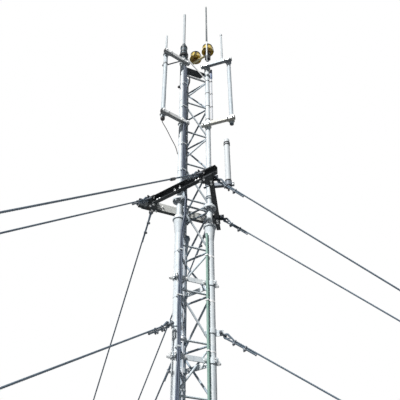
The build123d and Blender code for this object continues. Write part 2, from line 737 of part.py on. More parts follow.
def main():
    os.makedirs("parts", exist_ok=True)
    make_base()
    blanks = make_legs()
    make_bracing(blanks)
    make_frame()
    make_frame_clamps()
    make_corner_plates()
    make_clamp_frame("clamp_frame_upper", CLAMP_UPPER_Z, HEAVY_OD)
    make_clamp_frame("clamp_frame_lower", CLAMP_LOWER_Z, HEAVY_OD)
    make_guy_collars()
    for leg in ANCHORS:
        make_anchor(leg)
    make_guys()
    make_arms_and_poles()
    make_aerials()
    make_head()
    make_beacons()
    make_beacon_stem()


main()
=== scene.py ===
import json
from itertools import product
from math import atan2, ceil, cos, degrees, pi, radians, sin, sqrt

import bmesh
import bpy
from mathutils import Matrix, Vector


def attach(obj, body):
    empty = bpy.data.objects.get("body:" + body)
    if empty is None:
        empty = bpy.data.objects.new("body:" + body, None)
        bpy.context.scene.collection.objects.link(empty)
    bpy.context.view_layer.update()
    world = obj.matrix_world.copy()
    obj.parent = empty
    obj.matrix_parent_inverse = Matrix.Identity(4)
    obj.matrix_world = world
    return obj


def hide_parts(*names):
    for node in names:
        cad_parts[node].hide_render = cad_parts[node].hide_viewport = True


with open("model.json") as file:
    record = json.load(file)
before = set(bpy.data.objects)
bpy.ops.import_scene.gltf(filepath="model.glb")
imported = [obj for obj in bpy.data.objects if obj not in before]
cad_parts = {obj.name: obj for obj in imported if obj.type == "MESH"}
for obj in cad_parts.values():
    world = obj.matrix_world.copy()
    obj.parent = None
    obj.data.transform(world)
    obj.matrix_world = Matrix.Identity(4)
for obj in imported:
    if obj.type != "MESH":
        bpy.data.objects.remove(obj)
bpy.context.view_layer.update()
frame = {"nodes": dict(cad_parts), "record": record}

# Metres in a millimetre
MM = 0.001

# Sizes of the mast in millimetres, as its solids have them
FACE_WIDTH = 330.0
BAY = 485.0
JOINT_HALF = 45.0
BASE_T = 25.0
SECTION_BAYS = 6
TOP_BAYS = 4
SECTION = SECTION_BAYS * BAY + 2 * JOINT_HALF
JOINT_1 = BASE_T + SECTION
JOINT_2 = BASE_T + 2 * SECTION
TOP_LEVEL = JOINT_2 + JOINT_HALF + TOP_BAYS * BAY
LEG_TOP = TOP_LEVEL + 290.0
LEG_OD = 57.0
HEAVY_OD = 76.0
BAR_OD = 20.0
CROWN_BAR_OD = 28.0
FLANGE_T = 12.0
FLANGE_BOLT_RING = 54.5
HUB_BOLT_RING = 46.0
HUB_TOP = JOINT_2 - 235.0
FRAME_Z = JOINT_2 + 122.0
CHANNEL_H = 90.0
CHANNEL_W = 45.0
CHANNEL_T = 6.0
LUG_OFFSET = 328.0
LUG_REACH = 25.0
LUG_T = 10.0
LUG_H = 70.0
CORNER_PLATE_T = 8.0
U_BOLT_D = 10.0
U_BOLT_SPACING = 26.0
CLAMP_UPPER_Z = JOINT_2 - 902.0
CLAMP_LOWER_Z = JOINT_2 - 1660.0
CLAMP_BAND_T = 8.0
CLAMP_BAND_OD = HEAVY_OD + 2 * CLAMP_BAND_T
CLAMP_BAR_T = 10.0
CLAMP_BAR_GAP = 1.0
STUD_D = 32.0
STUD_REACH = 40.0
STUD_AZIMUTH = {"left": 165.0, "right": -5.0, "rear": 80.0}
EAR_AZIMUTH = {"left": 232.0, "right": -72.0, "rear": 136.0}
LOW_GUY_Z = JOINT_2 - 1338.0
COLLAR_REACH = 62.0
COLLAR_LIFT = 14.0
FIN_T = 20.0
EYE_Z = 230.0
EYE_PITCH = 85.0
ANCHORS = {"left": (6970.0, 214.7), "right": (6680.0, -33.0), "rear": (7850.0, 91.8)}
ARM_SIZE = 42.0
ARM_INNER = 58.0
ARM_OUTER = 48.0
ARMS = {
    "left": (193.0, 250.0, (LEG_TOP - 1168.0, LEG_TOP - 102.0)),
    "right": (-42.4, 285.0, (LEG_TOP - 1082.0, LEG_TOP - 28.0)),
}
POLE_OD = 48.0
TUBE_REACH = 207.0
TUBE_D = 62.0
TUBE_FOOT = FRAME_Z + 143.0
HEAD_DECK = TOP_LEVEL + 160.0
BEACON_FACE_AZ = 30.0
BEACON_OUT = 169.0
BEACON_ALONG = {"beacon_inner": 75.0, "beacon_outer": -125.0}
BEACON_SEAT = HEAD_DECK + 512.0

AZIMUTH = {"left": 210.0, "right": -30.0, "rear": 90.0}
FACES = {"front": ("left", "right"), "right": ("right", "rear"), "left": ("rear", "left")}

# Foot, number of bays and fall of the first diagonal of each section
SECTIONS = {
    "lower": (BASE_T, SECTION_BAYS, True),
    "middle": (JOINT_1, SECTION_BAYS, True),
    "upper": (JOINT_2, TOP_BAYS, False),
}
LEG_RADIUS = FACE_WIDTH / sqrt(3)
FACE_RADIUS = LEG_RADIUS / 2
WEB_N = LEG_RADIUS + LEG_OD / 2
LUG_N = WEB_N + CHANNEL_W + LUG_REACH
UP = Vector((0, 0, 1))

# Thread diameters, and sizes that nuts, washers and beads share
M10 = 10.0
M12 = 12.0
M14 = 14.0
M16 = 16.0
WASHER_T = 2.5
THREAD_DEPTH = 0.8
WELD_SIZE = 3.0


def polar(radius, azimuth, z=0.0):
    return Vector((radius * cos(radians(azimuth)), radius * sin(radians(azimuth)), z))


def leg_point(leg, z=0.0):
    return polar(LEG_RADIUS, AZIMUTH[leg], z)


def leg_diameter(z):
    return LEG_OD if z > HUB_TOP else HEAVY_OD


def at(point, azimuth=0.0):
    """Placement at a point, with X along the azimuth and Z up."""
    return Matrix.Translation(point) @ Matrix.Rotation(radians(azimuth), 4, "Z")


def moved(place, x=0.0, y=0.0, z=0.0):
    """The placement shifted along its own axes."""
    return place @ Matrix.Translation((x, y, z))


def aim(point, direction, hint=UP):
    """Placement at a point, with Z along the direction and X near the hint."""
    z = direction.normalized()
    x = hint - z * hint.dot(z)
    if x.length < 1e-4:
        x = z.orthogonal()
    x.normalize()
    place = Matrix((x, z.cross(x), z)).transposed().to_4x4()
    place.translation = point
    return place


# Z of the placement turned to each of its own axes
TO_X = Matrix.Rotation(pi / 2, 4, "Y")
TO_Y = Matrix.Rotation(-pi / 2, 4, "X")
TO_DOWN = Matrix.Rotation(pi, 4, "X")


class Shape:
    """Points and faces of one piece, in millimetres."""

    def __init__(self):
        self.points = []
        self.faces = []

    def skin(self, rings, closed=False):
        """Faces between rings of points, with flat ends where the piece isn't a loop."""
        first = len(self.points)
        count = len(rings[0])
        total = len(rings)
        for ring in rings:
            self.points.extend(ring)
        for i in range(total if closed else total - 1):
            low = first + i * count
            high = first + (i + 1) % total * count
            for j in range(count):
                k = (j + 1) % count
                self.faces.append((low + j, low + k, high + k, high + j))
        if not closed:
            last = first + (total - 1) * count
            self.faces.append(tuple(first + j for j in reversed(range(count))))
            self.faces.append(tuple(last + j for j in range(count)))

    def turned(self, place, outline, sides=24):
        """Solid of revolution about Z from (height, radius) pairs."""
        spokes = [(cos(2 * pi * j / sides), sin(2 * pi * j / sides)) for j in range(sides)]
        rings = []
        for height, radius in outline:
            rings.append([place @ Vector((radius * c, radius * s, height)) for c, s in spokes])
        self.skin(rings)

    def rod(self, start, end, diameter, sides=14, edge=0.0):
        length = (end - start).length
        radius = diameter / 2
        outline = [(0, radius - edge), (edge, radius), (length - edge, radius), (length, radius - edge)]
        if edge == 0:
            outline = [outline[0], outline[-1]]
        self.turned(aim(start, end - start), outline, sides)

    def band(self, place, inner, outer, height, sides=28, edge=1.0):
        """Ring with cut edges, centred on its placement."""
        h = height / 2
        upper = [(outer, h - edge), (outer - edge, h), (inner, h)]
        section = [(r, -z) for r, z in reversed(upper)] + upper
        rings = []
        for j in range(sides):
            turn = 2 * pi * j / sides
            rings.append([place @ Vector((r * cos(turn), r * sin(turn), z)) for r, z in section])
        self.skin(rings, closed=True)

    def sweep(self, path, radius, sides=10, closed=False):
        """Round tube along points. The radius is a number, or one number a point."""
        rings = []
        normal = None
        last = len(path) - 1
        for i, point in enumerate(path):
            before = path[i - 1] if i > 0 or closed else point
            after = path[(i + 1) % (last + 1)] if i < last or closed else point
            along = (after - before).normalized()
            if normal is None:
                normal = along.orthogonal()
            normal = (normal - along * normal.dot(along)).normalized()
            side = along.cross(normal)
            reach = radius[i] if isinstance(radius, list) else radius
            ring = []
            for j in range(sides):
                turn = 2 * pi * j / sides
                ring.append(point + normal * (reach * cos(turn)) + side * (reach * sin(turn)))
            rings.append(ring)
        self.skin(rings, closed)

    def block(self, place, size, edge=1.0):
        """Box with cut edges, centred on its placement."""
        corners = []
        for signs in product((-1, 1), repeat=3):
            for axis in range(3):
                corner = [sign * (length / 2 - edge) for sign, length in zip(signs, size)]
                corner[axis] = signs[axis] * size[axis] / 2
                corners.append(place @ Vector(corner))
        self.wrap(corners)

    def wrap(self, corners):
        """Closed skin round a set of points."""
        work = bmesh.new()
        for corner in corners:
            work.verts.new(corner)
        bmesh.ops.convex_hull(work, input=work.verts)
        work.verts.index_update()
        first = len(self.points)
        self.points.extend(v.co.copy() for v in work.verts)
        self.faces.extend(tuple(first + v.index for v in face.verts) for face in work.faces)
        work.free()

    def nut(self, place, flats, height, spin=0.0):
        """Hexagon with rounded-off corners, standing on its placement."""
        corner = flats / sqrt(3)
        cut = 0.6 * (corner - flats / 2)
        outline = [(0, flats / 2), (cut, corner), (height - cut, corner), (height, flats / 2)]
        self.turned(place @ Matrix.Rotation(spin, 4, "Z"), outline, 6)

    def washer(self, place, diameter, height=WASHER_T):
        radius = diameter / 2
        self.turned(place, [(0, radius), (height * 0.7, radius), (height, radius - 0.6)], 18)

    def thread(self, place, diameter, length, pitch=2.5, sides=14):
        """Ridged round bar along Z."""
        crest = diameter / 2
        root = crest - THREAD_DEPTH
        outline = []
        for i in range(max(1, int(length / pitch))):
            outline += [(i * pitch, root), ((i + 0.5) * pitch, crest)]
        outline += [(length - 1.0, root), (length, root - THREAD_DEPTH)]
        self.turned(place, outline, sides)

    def bolt(self, place, thread, grip, spin=0.0):
        """Bolt along -Z with its head on the placement, and a washer and nut after its grip."""
        flats = thread * 1.5
        under = moved(place, z=-grip) @ TO_DOWN
        for seat, height, turn in ((place, thread * 0.65, spin), (under, thread * 0.8, spin + 0.4)):
            self.washer(seat, thread * 2)
            self.nut(moved(seat, z=WASHER_T), flats, height, turn)
        self.thread(moved(under, z=2.0), thread, thread * 0.8 + 8.0)


def ring_path(place, radius, sides=28, start=0.0, sweep=2 * pi):
    """Points of an arc in the placement's XY plane."""
    steps = sides if sweep == 2 * pi else sides + 1
    turns = [start + sweep * i / sides for i in range(steps)]
    return [place @ Vector((radius * cos(turn), radius * sin(turn), 0)) for turn in turns]


def weld_ring(shape, centre, radius, size=4.0):
    """Weld bead round an upright tube, a little uneven."""
    path = ring_path(at(centre), radius, 40)
    sizes = [size * (1 + 0.12 * sin(7 * i) + 0.08 * sin(2.3 * i)) for i in range(len(path))]
    shape.sweep(path, sizes, 6, closed=True)


def weld_line(shape, start, end, size=WELD_SIZE, steps=18):
    """Straight weld bead, a little uneven."""
    path = [start.lerp(end, i / steps) for i in range(steps + 1)]
    sizes = [size * (1 + 0.15 * sin(5 * i)) for i in range(steps + 1)]
    shape.sweep(path, sizes, 6)


# Shader helper: sums of sockets write themselves as nodes
class Value:
    """A socket's value, which can be added, multiplied and so on."""

    def __init__(self, nodes, socket):
        self.nodes = nodes
        self.socket = socket

    def calc(self, operation, first, second):
        node = self.nodes.node("ShaderNodeMath", {"operation": operation}, {0: first, 1: second})
        return Value(self.nodes, node.outputs[0])

    def __add__(self, other):
        return self.calc("ADD", self, other)

    def __radd__(self, other):
        return self.calc("ADD", other, self)

    def __sub__(self, other):
        return self.calc("SUBTRACT", self, other)

    def __rsub__(self, other):
        return self.calc("SUBTRACT", other, self)

    def __mul__(self, other):
        return self.calc("MULTIPLY", self, other)

    def __rmul__(self, other):
        return self.calc("MULTIPLY", other, self)

    def most(self, other):
        return self.calc("MAXIMUM", self, other)


class Nodes:
    """A node tree and what is added to it."""

    def __init__(self, tree):
        self.tree = tree

    def node(self, kind, settings=None, values=None):
        node = self.tree.nodes.new(kind)
        for key, setting in (settings or {}).items():
            setattr(node, key, setting)
        for key, value in (values or {}).items():
            self.feed(node.inputs[key], value)
        return node

    def feed(self, socket, value):
        if isinstance(value, Value):
            self.tree.links.new(value.socket, socket)
        elif isinstance(value, bpy.types.NodeSocket):
            self.tree.links.new(value, socket)
        elif isinstance(value, tuple) and len(value) == 3 and socket.type == "RGBA":
            socket.default_value = value + (1,)
        else:
            socket.default_value = value

    def seen_rays(self):
        """1 on camera, glossy and transmission rays, and 0 on the rest."""
        rays = self.node("ShaderNodeLightPath").outputs
        camera, glossy, through = [
            Value(self, rays[f"Is {kind} Ray"]) for kind in ("Camera", "Glossy", "Transmission")
        ]
        return camera.most(glossy).most(through)


class Finish(Nodes):
    """One material and the nodes that make it."""

    def __init__(self, name):
        self.material = bpy.data.materials.new(name)
        self.material.use_nodes = True
        super().__init__(self.material.node_tree)
        self.shader = self.tree.nodes["Principled BSDF"]
        self.places = self.node("ShaderNodeTexCoord").outputs["Object"]

    def noise(self, scale, detail=4.0, stretch=None):
        """Clouds from 0 to 1 by place in metres, drawn closer along each axis by the stretch."""
        where = self.places
        if stretch:
            where = self.node("ShaderNodeMapping", None, {"Vector": where, "Scale": stretch}).outputs[0]
        values = {"Vector": where, "Scale": scale, "Detail": detail, "Roughness": 0.55}
        return Value(self, self.node("ShaderNodeTexNoise", None, values).outputs["Fac"])

    def cells(self, scale):
        """One even value for each cell of crystal-like cells."""
        node = self.node("ShaderNodeTexVoronoi", None, {"Vector": self.places, "Scale": scale})
        split = self.node("ShaderNodeSeparateColor", None, {0: node.outputs["Color"]})
        return Value(self, split.outputs[0])

    def fade(self, value, low, high):
        """0 below low and 1 above high, with a soft step between."""
        settings = {"interpolation_type": "SMOOTHSTEP"}
        values = {"Value": value, "From Min": low, "From Max": high}
        return Value(self, self.node("ShaderNodeMapRange", settings, values).outputs[0])

    def axis(self, name):
        split = self.node("ShaderNodeSeparateXYZ", None, {0: self.places})
        return Value(self, split.outputs[name])

    def facing(self, name):
        """One part of the surface's direction, from -1 to 1."""
        normal = self.node("ShaderNodeNewGeometry").outputs["Normal"]
        return Value(self, self.node("ShaderNodeSeparateXYZ", None, {0: normal}).outputs[name])

    def mix(self, factor, first, second):
        # sockets 6 and 7 take the two colours, and output 2 gives theirs
        values = {"Factor": factor, 6: first, 7: second}
        return self.node("ShaderNodeMix", {"data_type": "RGBA"}, values).outputs[2]

    def bump(self, height, strength=0.3, distance=0.001):
        values = {"Height": height, "Strength": strength, "Distance": distance}
        return self.node("ShaderNodeBump", None, values).outputs[0]

    def set(self, **values):
        for key, value in values.items():
            self.feed(self.shader.inputs[key.replace("_", " ")], value)
        return self.material


RUST = (0.20, 0.085, 0.035)
DUST = (0.62, 0.61, 0.58)

# Where the rear beam's pale web starts past the left leg, in metres along X
PALE_WEB_X = (-0.303, -0.296)


def zinc(name, light, mid, dark, metal=0.05, rough=0.5, rust=0.62, under=0.75):
    """Hot-dip zinc: spangle, pale bloom, run-off streaks, a few rust specks, dust on top, and painted shade
    on the undersides.
    """
    f = Finish(name)
    spangle = f.cells(85.0)
    bloom = f.fade(f.noise(7.0, 5.0), 0.42, 0.68)
    streaks = f.fade(f.noise(1.0, 5.0, (55.0, 55.0, 1.6)), 0.50, 0.74)
    grain = f.noise(900.0, 2.0)
    colour = f.mix(bloom, mid, light)
    colour = f.mix(spangle * 0.22, colour, dark)
    colour = f.mix(streaks * 0.45, colour, dark)
    specks = f.fade(f.noise(38.0, 6.0), rust, rust + 0.07) * f.fade(f.noise(3.1, 2.0), 0.48, 0.62)
    colour = f.mix(specks * 0.7, colour, RUST)
    dust = f.fade(f.facing("Z"), 0.4, 1.0)
    colour = f.mix(dust * 0.25, colour, DUST)
    # Painted shade: faces turned down are darkened towards a deep tone of the dark colour, by the share under
    painted_underside_shade = f.fade(0 - f.facing("Z"), 0.6, 0.95)
    colour = f.mix(painted_underside_shade * under, colour, tuple(c * 0.4 for c in dark))
    f.set(Specular_IOR_Level=0.2)
    return f.set(
        Base_Color=colour,
        Metallic=metal - specks * metal,
        Roughness=rough + spangle * 0.12 + bloom * 0.14 + specks * 0.3,
        Normal=f.bump(spangle * 0.5 + grain * 0.25 + streaks * 0.3, 0.25, 0.0006),
    )


def dark_paint(name, pale_web=False):
    """Near-black weathered steel: chalky patches, scuffs to bare zinc and dust on top."""
    f = Finish(name)
    patches = f.fade(f.noise(5.5, 6.0), 0.40, 0.66)
    scuffs = f.fade(f.noise(46.0, 6.0, (1.0, 1.0, 0.5)), 0.64, 0.70)
    streaks = f.fade(f.noise(1.0, 4.0, (42.0, 42.0, 2.2)), 0.50, 0.75)
    colour = f.mix(patches, (0.026, 0.030, 0.034), (0.060, 0.068, 0.074))
    colour = f.mix(streaks * 0.5, colour, (0.115, 0.120, 0.118))
    colour = f.mix(scuffs * 0.8, colour, (0.34, 0.36, 0.37))
    rust = f.fade(f.noise(24.0, 6.0), 0.63, 0.70)
    colour = f.mix(rust * 0.4, colour, (0.080, 0.042, 0.024))
    dust = f.fade(f.facing("Z"), 0.5, 1.0)
    colour = f.mix(dust * 0.5, colour, (0.27, 0.27, 0.26))
    rough = 0.55 + patches * 0.15 + rust * 0.2
    f.set(Specular_IOR_Level=0.15)
    if pale_web:
        # the inner face of the web only, and not the corner past the left leg
        inner = f.fade(0 - f.facing("Y"), 0.80, 0.95) * f.fade(f.axis("X"), *PALE_WEB_X)
        web = 1 - f.fade(f.axis("Y") - (WEB_N + 1) * MM, 0.0, 0.001)
        tint = f.mix(f.noise(11.0, 5.0), (0.50, 0.51, 0.49), (0.72, 0.73, 0.71))
        colour = f.mix(inner * web, colour, tint)
    return f.set(
        Base_Color=colour,
        Metallic=0.15,
        Roughness=rough,
        Normal=f.bump(f.noise(120.0, 5.0) + patches * 0.4, 0.35, 0.0008),
    )


def strand_steel(name):
    """Dull stranded wire, grey-blue, darker between the lays."""
    f = Finish(name)
    bands = f.noise(2.2, 4.0)
    grime = f.fade(f.noise(60.0, 4.0), 0.45, 0.70)
    colour = f.mix(bands, (0.062, 0.096, 0.132), (0.15, 0.21, 0.275))
    colour = f.mix(grime * 0.5, colour, (0.045, 0.052, 0.065))
    wear = f.bump(f.noise(600.0), 0.3, 0.0004)
    return f.set(Base_Color=colour, Metallic=0.1, Roughness=0.45 + grime * 0.25, Normal=wear)


def plastic(name, light, mid, rough=0.45):
    """Moulded or laminated plastic with faint clouds, wipe marks and dirt."""
    f = Finish(name)
    clouds = f.noise(9.0, 4.0)
    wipes = f.fade(f.noise(1.0, 5.0, (70.0, 70.0, 3.0)), 0.52, 0.78)
    colour = f.mix(clouds, mid, light)
    colour = f.mix(wipes * 0.35, colour, tuple(c * 0.62 for c in mid))
    grain = f.bump(f.noise(1500.0, 2.0), 0.2, 0.0003)
    f.set(Specular_IOR_Level=0.2)
    return f.set(Base_Color=colour, Roughness=rough + wipes * 0.2 + clouds * 0.08, Normal=grain)


def amber(name):
    """Amber lens plastic: deep amber, with painted light that turns the upward faces pale amber."""
    f = Finish(name)
    # Painted light: faces turned up are mixed towards a pale amber, as if lit from above
    away = f.fade(f.facing("Z"), -0.3, 0.9)
    swirl = f.noise(26.0, 4.0)
    colour = f.mix(swirl, (0.40, 0.22, 0.010), (0.96, 0.74, 0.09))
    colour = f.mix(away * 0.6, colour, (0.98, 0.82, 0.26))
    grime = f.fade(f.noise(44.0, 6.0), 0.50, 0.68)
    colour = f.mix(grime * 0.8, colour, (0.10, 0.05, 0.012))
    f.set(Coat_Weight=0.1, Specular_IOR_Level=0.25)
    return f.set(Base_Color=colour, Roughness=0.16 + grime * 0.4, Normal=f.bump(swirl, 0.2, 0.0006))


def faded_paint(name, light, mid, chip):
    """Faded paint with chipped spots."""
    f = Finish(name)
    clouds = f.noise(14.0, 5.0)
    chips = f.fade(f.noise(70.0, 6.0), 0.62, 0.66)
    colour = f.mix(clouds, mid, light)
    colour = f.mix(chips, colour, chip)
    return f.set(Base_Color=colour, Roughness=0.4 + chips * 0.3, Normal=f.bump(1 - chips, 0.5, 0.0004))


def rubber(name, light, dark, rough=0.6):
    """Cable jacket or tape, clouded, with a dry bloom."""
    f = Finish(name)
    clouds = f.noise(30.0, 5.0)
    bloom = f.fade(f.noise(8.0, 4.0), 0.5, 0.8)
    colour = f.mix(clouds * 0.5 + bloom * 0.4, dark, light)
    grain = f.bump(f.noise(700.0), 0.3, 0.0005)
    return f.set(Base_Color=colour, Roughness=rough + bloom * 0.15, Normal=grain)


GALVANISED = zinc("galvanised", (0.90, 0.94, 0.96), (0.76, 0.82, 0.86), (0.38, 0.46, 0.54))
PALE_ZINC = zinc("pale_zinc", (0.97, 0.97, 0.96), (0.90, 0.92, 0.93), (0.66, 0.71, 0.75))
POLE_ZINC = zinc("pole_zinc", (0.72, 0.77, 0.81), (0.60, 0.67, 0.72), (0.38, 0.45, 0.52))
CREAM_ZINC = zinc("cream_zinc", (0.84, 0.83, 0.76), (0.73, 0.73, 0.68), (0.46, 0.47, 0.46), under=0.2)
# Darker zinc: painted shade for the rear legs and the bars of the two far faces
SHADE_ZINC = zinc("shaded_zinc", (0.52, 0.59, 0.65), (0.35, 0.42, 0.49), (0.16, 0.21, 0.27))
WELD = zinc("weld_bead", (0.58, 0.61, 0.64), (0.42, 0.45, 0.48), (0.20, 0.20, 0.20), rust=0.52)
BRIGHT = zinc(
    "bright_zinc", (0.93, 0.93, 0.92), (0.80, 0.82, 0.83), (0.46, 0.49, 0.52), 0.55, 0.3, under=0.2
)
FORGED = zinc("forged_fittings", (0.34, 0.37, 0.41), (0.20, 0.23, 0.27), (0.08, 0.09, 0.11), 0.15, 0.45)
DARK = dark_paint("dark_steel")
DARK_WEB = dark_paint("dark_steel_pale_web", pale_web=True)
STRAND = strand_steel("stranded_wire")
WHITE = plastic("white_laminate", (0.80, 0.84, 0.87), (0.68, 0.73, 0.77), 0.5)
LAMINATE = plastic("grey_laminate", (0.60, 0.65, 0.68), (0.49, 0.54, 0.58), 0.5)
# Brown is a darkened amber: painted shade of the lenses' undersides, on the drums under the beacons
BROWN = plastic("brown_plastic", (0.30, 0.16, 0.03), (0.10, 0.05, 0.015), 0.35)
SLATE = plastic("slate_plastic", (0.085, 0.125, 0.150), (0.040, 0.062, 0.080), 0.35)
BLACK = plastic("black_plastic", (0.035, 0.036, 0.040), (0.014, 0.015, 0.018), 0.4)
AMBER = amber("amber_lens")
YELLOW = faded_paint("pale_yellow", (0.90, 0.83, 0.50), (0.78, 0.68, 0.34), (0.33, 0.27, 0.18))
SATIN = faded_paint("satin_dark", (0.16, 0.19, 0.21), (0.09, 0.11, 0.13), (0.32, 0.34, 0.35))
TEAL = faded_paint("teal_paint", (0.045, 0.080, 0.095), (0.020, 0.040, 0.050), (0.12, 0.15, 0.16))
CABLE = rubber("black_cable", (0.055, 0.056, 0.062), (0.016, 0.017, 0.020))
GREEN_CABLE = rubber("green_cable", (0.41, 0.59, 0.53), (0.17, 0.32, 0.27), 0.5)
SLATE_CABLE = rubber("slate_cable", (0.17, 0.22, 0.30), (0.06, 0.08, 0.12))
GREY_CABLE = rubber("grey_cable", (0.74, 0.76, 0.80), (0.52, 0.55, 0.60))
BLUE_TAPE = rubber("blue_tape", (0.16, 0.26, 0.44), (0.05, 0.10, 0.22), 0.4)

# The finishes of each of the record's materials, its own solids' finish first
SLOT_FINISHES = {
    "galvanised_steel": [GALVANISED, PALE_ZINC, POLE_ZINC, CREAM_ZINC, SHADE_ZINC, WELD, BRIGHT, FORGED],
    "dark_steel": [DARK, DARK_WEB],
    "steel_strand": [STRAND],
    "white_plastic": [WHITE, LAMINATE],
    "slate_plastic": [SLATE, BROWN, BLACK],
    "amber_plastic": [AMBER],
    "pale_yellow_paint": [YELLOW],
    "dark_metal": [SATIN, TEAL],
    "cable_rubber": [CABLE, GREEN_CABLE, SLATE_CABLE, GREY_CABLE, BLUE_TAPE],
}


# Edges sharper than this, in degrees, stay crisp
CRISP_ANGLE = 38.0


def add_to_scene(name, data):
    thing = bpy.data.objects.new(name, data)
    bpy.context.scene.collection.objects.link(thing)
    return thing


def piece(name, shape, finish, *nodes, slot=None):
    """Makes the object from its shape, with smooth rounds and crisp edges."""
    if slot is None:
        slot = next(slot for slot, finishes in SLOT_FINISHES.items() if finish in finishes)
    mesh = bpy.data.meshes.new(name)
    mesh.from_pydata([p * MM for p in shape.points], [], shape.faces)
    work = bmesh.new()
    work.from_mesh(mesh)
    bmesh.ops.recalc_face_normals(work, faces=work.faces)
    work.to_mesh(mesh)
    work.free()
    mesh.polygons.foreach_set("use_smooth", [True] * len(mesh.polygons))
    mesh.set_sharp_from_angle(angle=radians(CRISP_ANGLE))
    mesh.materials.append(finish)
    thing = add_to_scene(name, mesh)
    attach(thing, "root")
    for node in nodes:
        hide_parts(node)


# Lattice bars, round and welded to the legs
def bar_ends(start, end, radius, bite=3.0):
    """Where a bar from leg axis to leg axis ends, inside each leg's wall."""
    along = (end - start).normalized()
    level = sqrt(along.x**2 + along.y**2)
    trimmed = []
    for point, direction in ((start, along), (end, -along)):
        leg_r = leg_diameter(point.z) / 2
        depth = sqrt(leg_r**2 - radius**2) - radius * abs(along.z) - bite
        trimmed.append(point + direction * (depth / level))
    return trimmed


def bar_weld(shape, axis_point, direction, radius, size=3.4, steps=16):
    """Bead where a round bar leaves an upright tube."""
    leg_r = leg_diameter(axis_point.z) / 2
    run = direction.normalized()
    flat = run.x**2 + run.y**2
    path = []
    for point in ring_path(aim(axis_point, direction), radius, steps):
        off = point - axis_point
        lead = off.x * run.x + off.y * run.y
        spare = off.x**2 + off.y**2 - leg_r**2
        path.append(point + run * ((-lead + sqrt(lead**2 - flat * spare)) / flat))
    sizes = [size * (1 + 0.16 * sin(2.6 * i + axis_point.z)) for i in range(steps)]
    shape.sweep(path, sizes, 5, closed=True)


def lattice_bars(face, section):
    """(start, end) of each level bar and each diagonal of one face of one section, from the top."""
    a, b = [leg_point(leg) for leg in FACES[face]]
    foot, bays, falls_to_end = SECTIONS[section]
    top = UP * (foot + JOINT_HALF + bays * BAY)
    levels = [(a + top - UP * BAY * i, b + top - UP * BAY * i) for i in range(bays + 1)]
    diagonals = []
    for bay in range(bays):
        high = top - UP * BAY * bay
        low = high - UP * BAY
        to_end = falls_to_end == (bay % 2 == 0)
        diagonals.append((a + high, b + low) if to_end else (b + high, a + low))
    return levels + diagonals


def make_lattice():
    """Bars and their welds. The front's top level bar is thicker, and a piece of its own."""
    for section in SECTIONS:
        welds = Shape()
        for face in FACES:
            bars = Shape()
            crown = Shape()
            for i, (start, end) in enumerate(lattice_bars(face, section)):
                top = i == 0 and (section, face) == ("upper", "front")
                bar, diameter = (crown, CROWN_BAR_OD) if top else (bars, BAR_OD)
                from_point, to_point = bar_ends(start, end, diameter / 2)
                bar.rod(from_point, to_point, diameter, 20)
                bar_weld(welds, start, end - start, diameter / 2)
                bar_weld(welds, end, start - end, diameter / 2)
            node = f"bracing_{face}_{section}"
            # the far faces' bars take the darker zinc as painted shade
            piece(f"{node}_bars", bars, POLE_ZINC if face == "front" else SHADE_ZINC, node)
            if crown.points:
                piece("crown_bar", crown, PALE_ZINC)
        piece(f"bracing_welds_{section}", welds, WELD)


# Flange joints in the legs
HUB_WASHER_D = 32.0
HUB_WASHER_T = 3.0
HUB_NUT_FLATS = 26.0
HUB_NUT_H = 16.0
FOOT_WASHER_D = 28.0
FOOT_NUT_FLATS = 21.0
FOOT_NUT_H = 9.0


def around_leg(leg, z, radius):
    """Six placements spread round a leg, each with X away from it."""
    for azimuth in range(0, 360, 60):
        heading = AZIMUTH[leg] + azimuth
        yield at(leg_point(leg, z) + polar(radius, heading), heading)


def make_flange_bolts():
    for name, z in (("lower_joint", JOINT_1), ("upper_joint", JOINT_2)):
        bolts = Shape()
        for leg in AZIMUTH:
            for i, place in enumerate(around_leg(leg, z + FLANGE_T, FLANGE_BOLT_RING)):
                bolts.bolt(place, M14, 2 * FLANGE_T, 0.3 * i)
        piece(f"flange_bolts_{name}", bolts, GALVANISED)
    hub = Shape()
    foot = Shape()
    for leg in AZIMUTH:
        for i, place in enumerate(around_leg(leg, HUB_TOP, HUB_BOLT_RING)):
            hub.washer(place, HUB_WASHER_D, HUB_WASHER_T)
            hub.nut(moved(place, z=HUB_WASHER_T), HUB_NUT_FLATS, HUB_NUT_H, 0.4 * i)
            hub.thread(moved(place, z=HUB_WASHER_T + HUB_NUT_H - 1), M16, 10.0)
        for i, place in enumerate(around_leg(leg, BASE_T + FLANGE_T, FLANGE_BOLT_RING)):
            foot.washer(place, FOOT_WASHER_D)
            foot.nut(moved(place, z=WASHER_T), FOOT_NUT_FLATS, FOOT_NUT_H, 0.5 * i)
    piece("hub_nuts", hub, BRIGHT)
    piece("foot_bolts", foot, BRIGHT)


def make_leg_welds():
    welds = Shape()
    beads = [(HUB_TOP, LEG_OD), (LEG_TOP - 4.0, LEG_OD - 6.0)]
    for z in (BASE_T + FLANGE_T, JOINT_1 - FLANGE_T, JOINT_1 + FLANGE_T):
        beads.append((z, HEAVY_OD))
    for z in (JOINT_2 - FLANGE_T, JOINT_2 + FLANGE_T):
        beads.append((z, LEG_OD))
    for leg, (z, diameter) in product(AZIMUTH, beads):
        weld_ring(welds, leg_point(leg, z), diameter / 2 + 1.0)
    piece("leg_welds", welds, WELD)


# Torsion frame
WEB_BOLTS = (-268, -236, 236, 268)
CORNER_BOLTS = (34.0, 76.0)
U_WASHER_D = 21.0
U_NUT_FLATS = 19.0
U_NUT_H = 9.6


def lug_welds(welds, place, y, face):
    """Beads down both sides of a lug and along its two ends."""
    for y_side, z_side in product((y - LUG_T / 2, y + LUG_T / 2), (-LUG_H / 2, LUG_H / 2)):
        inner = Vector((face, y_side, z_side))
        outer = inner + Vector((CHANNEL_W - CHANNEL_T, 0, 0))
        weld_line(welds, place @ inner, place @ outer, 2.6)
    for y_side in (y - LUG_T / 2, y + LUG_T / 2):
        ends = [place @ Vector((face, y_side, z)) for z in (-LUG_H / 2, LUG_H / 2)]
        weld_line(welds, *ends)


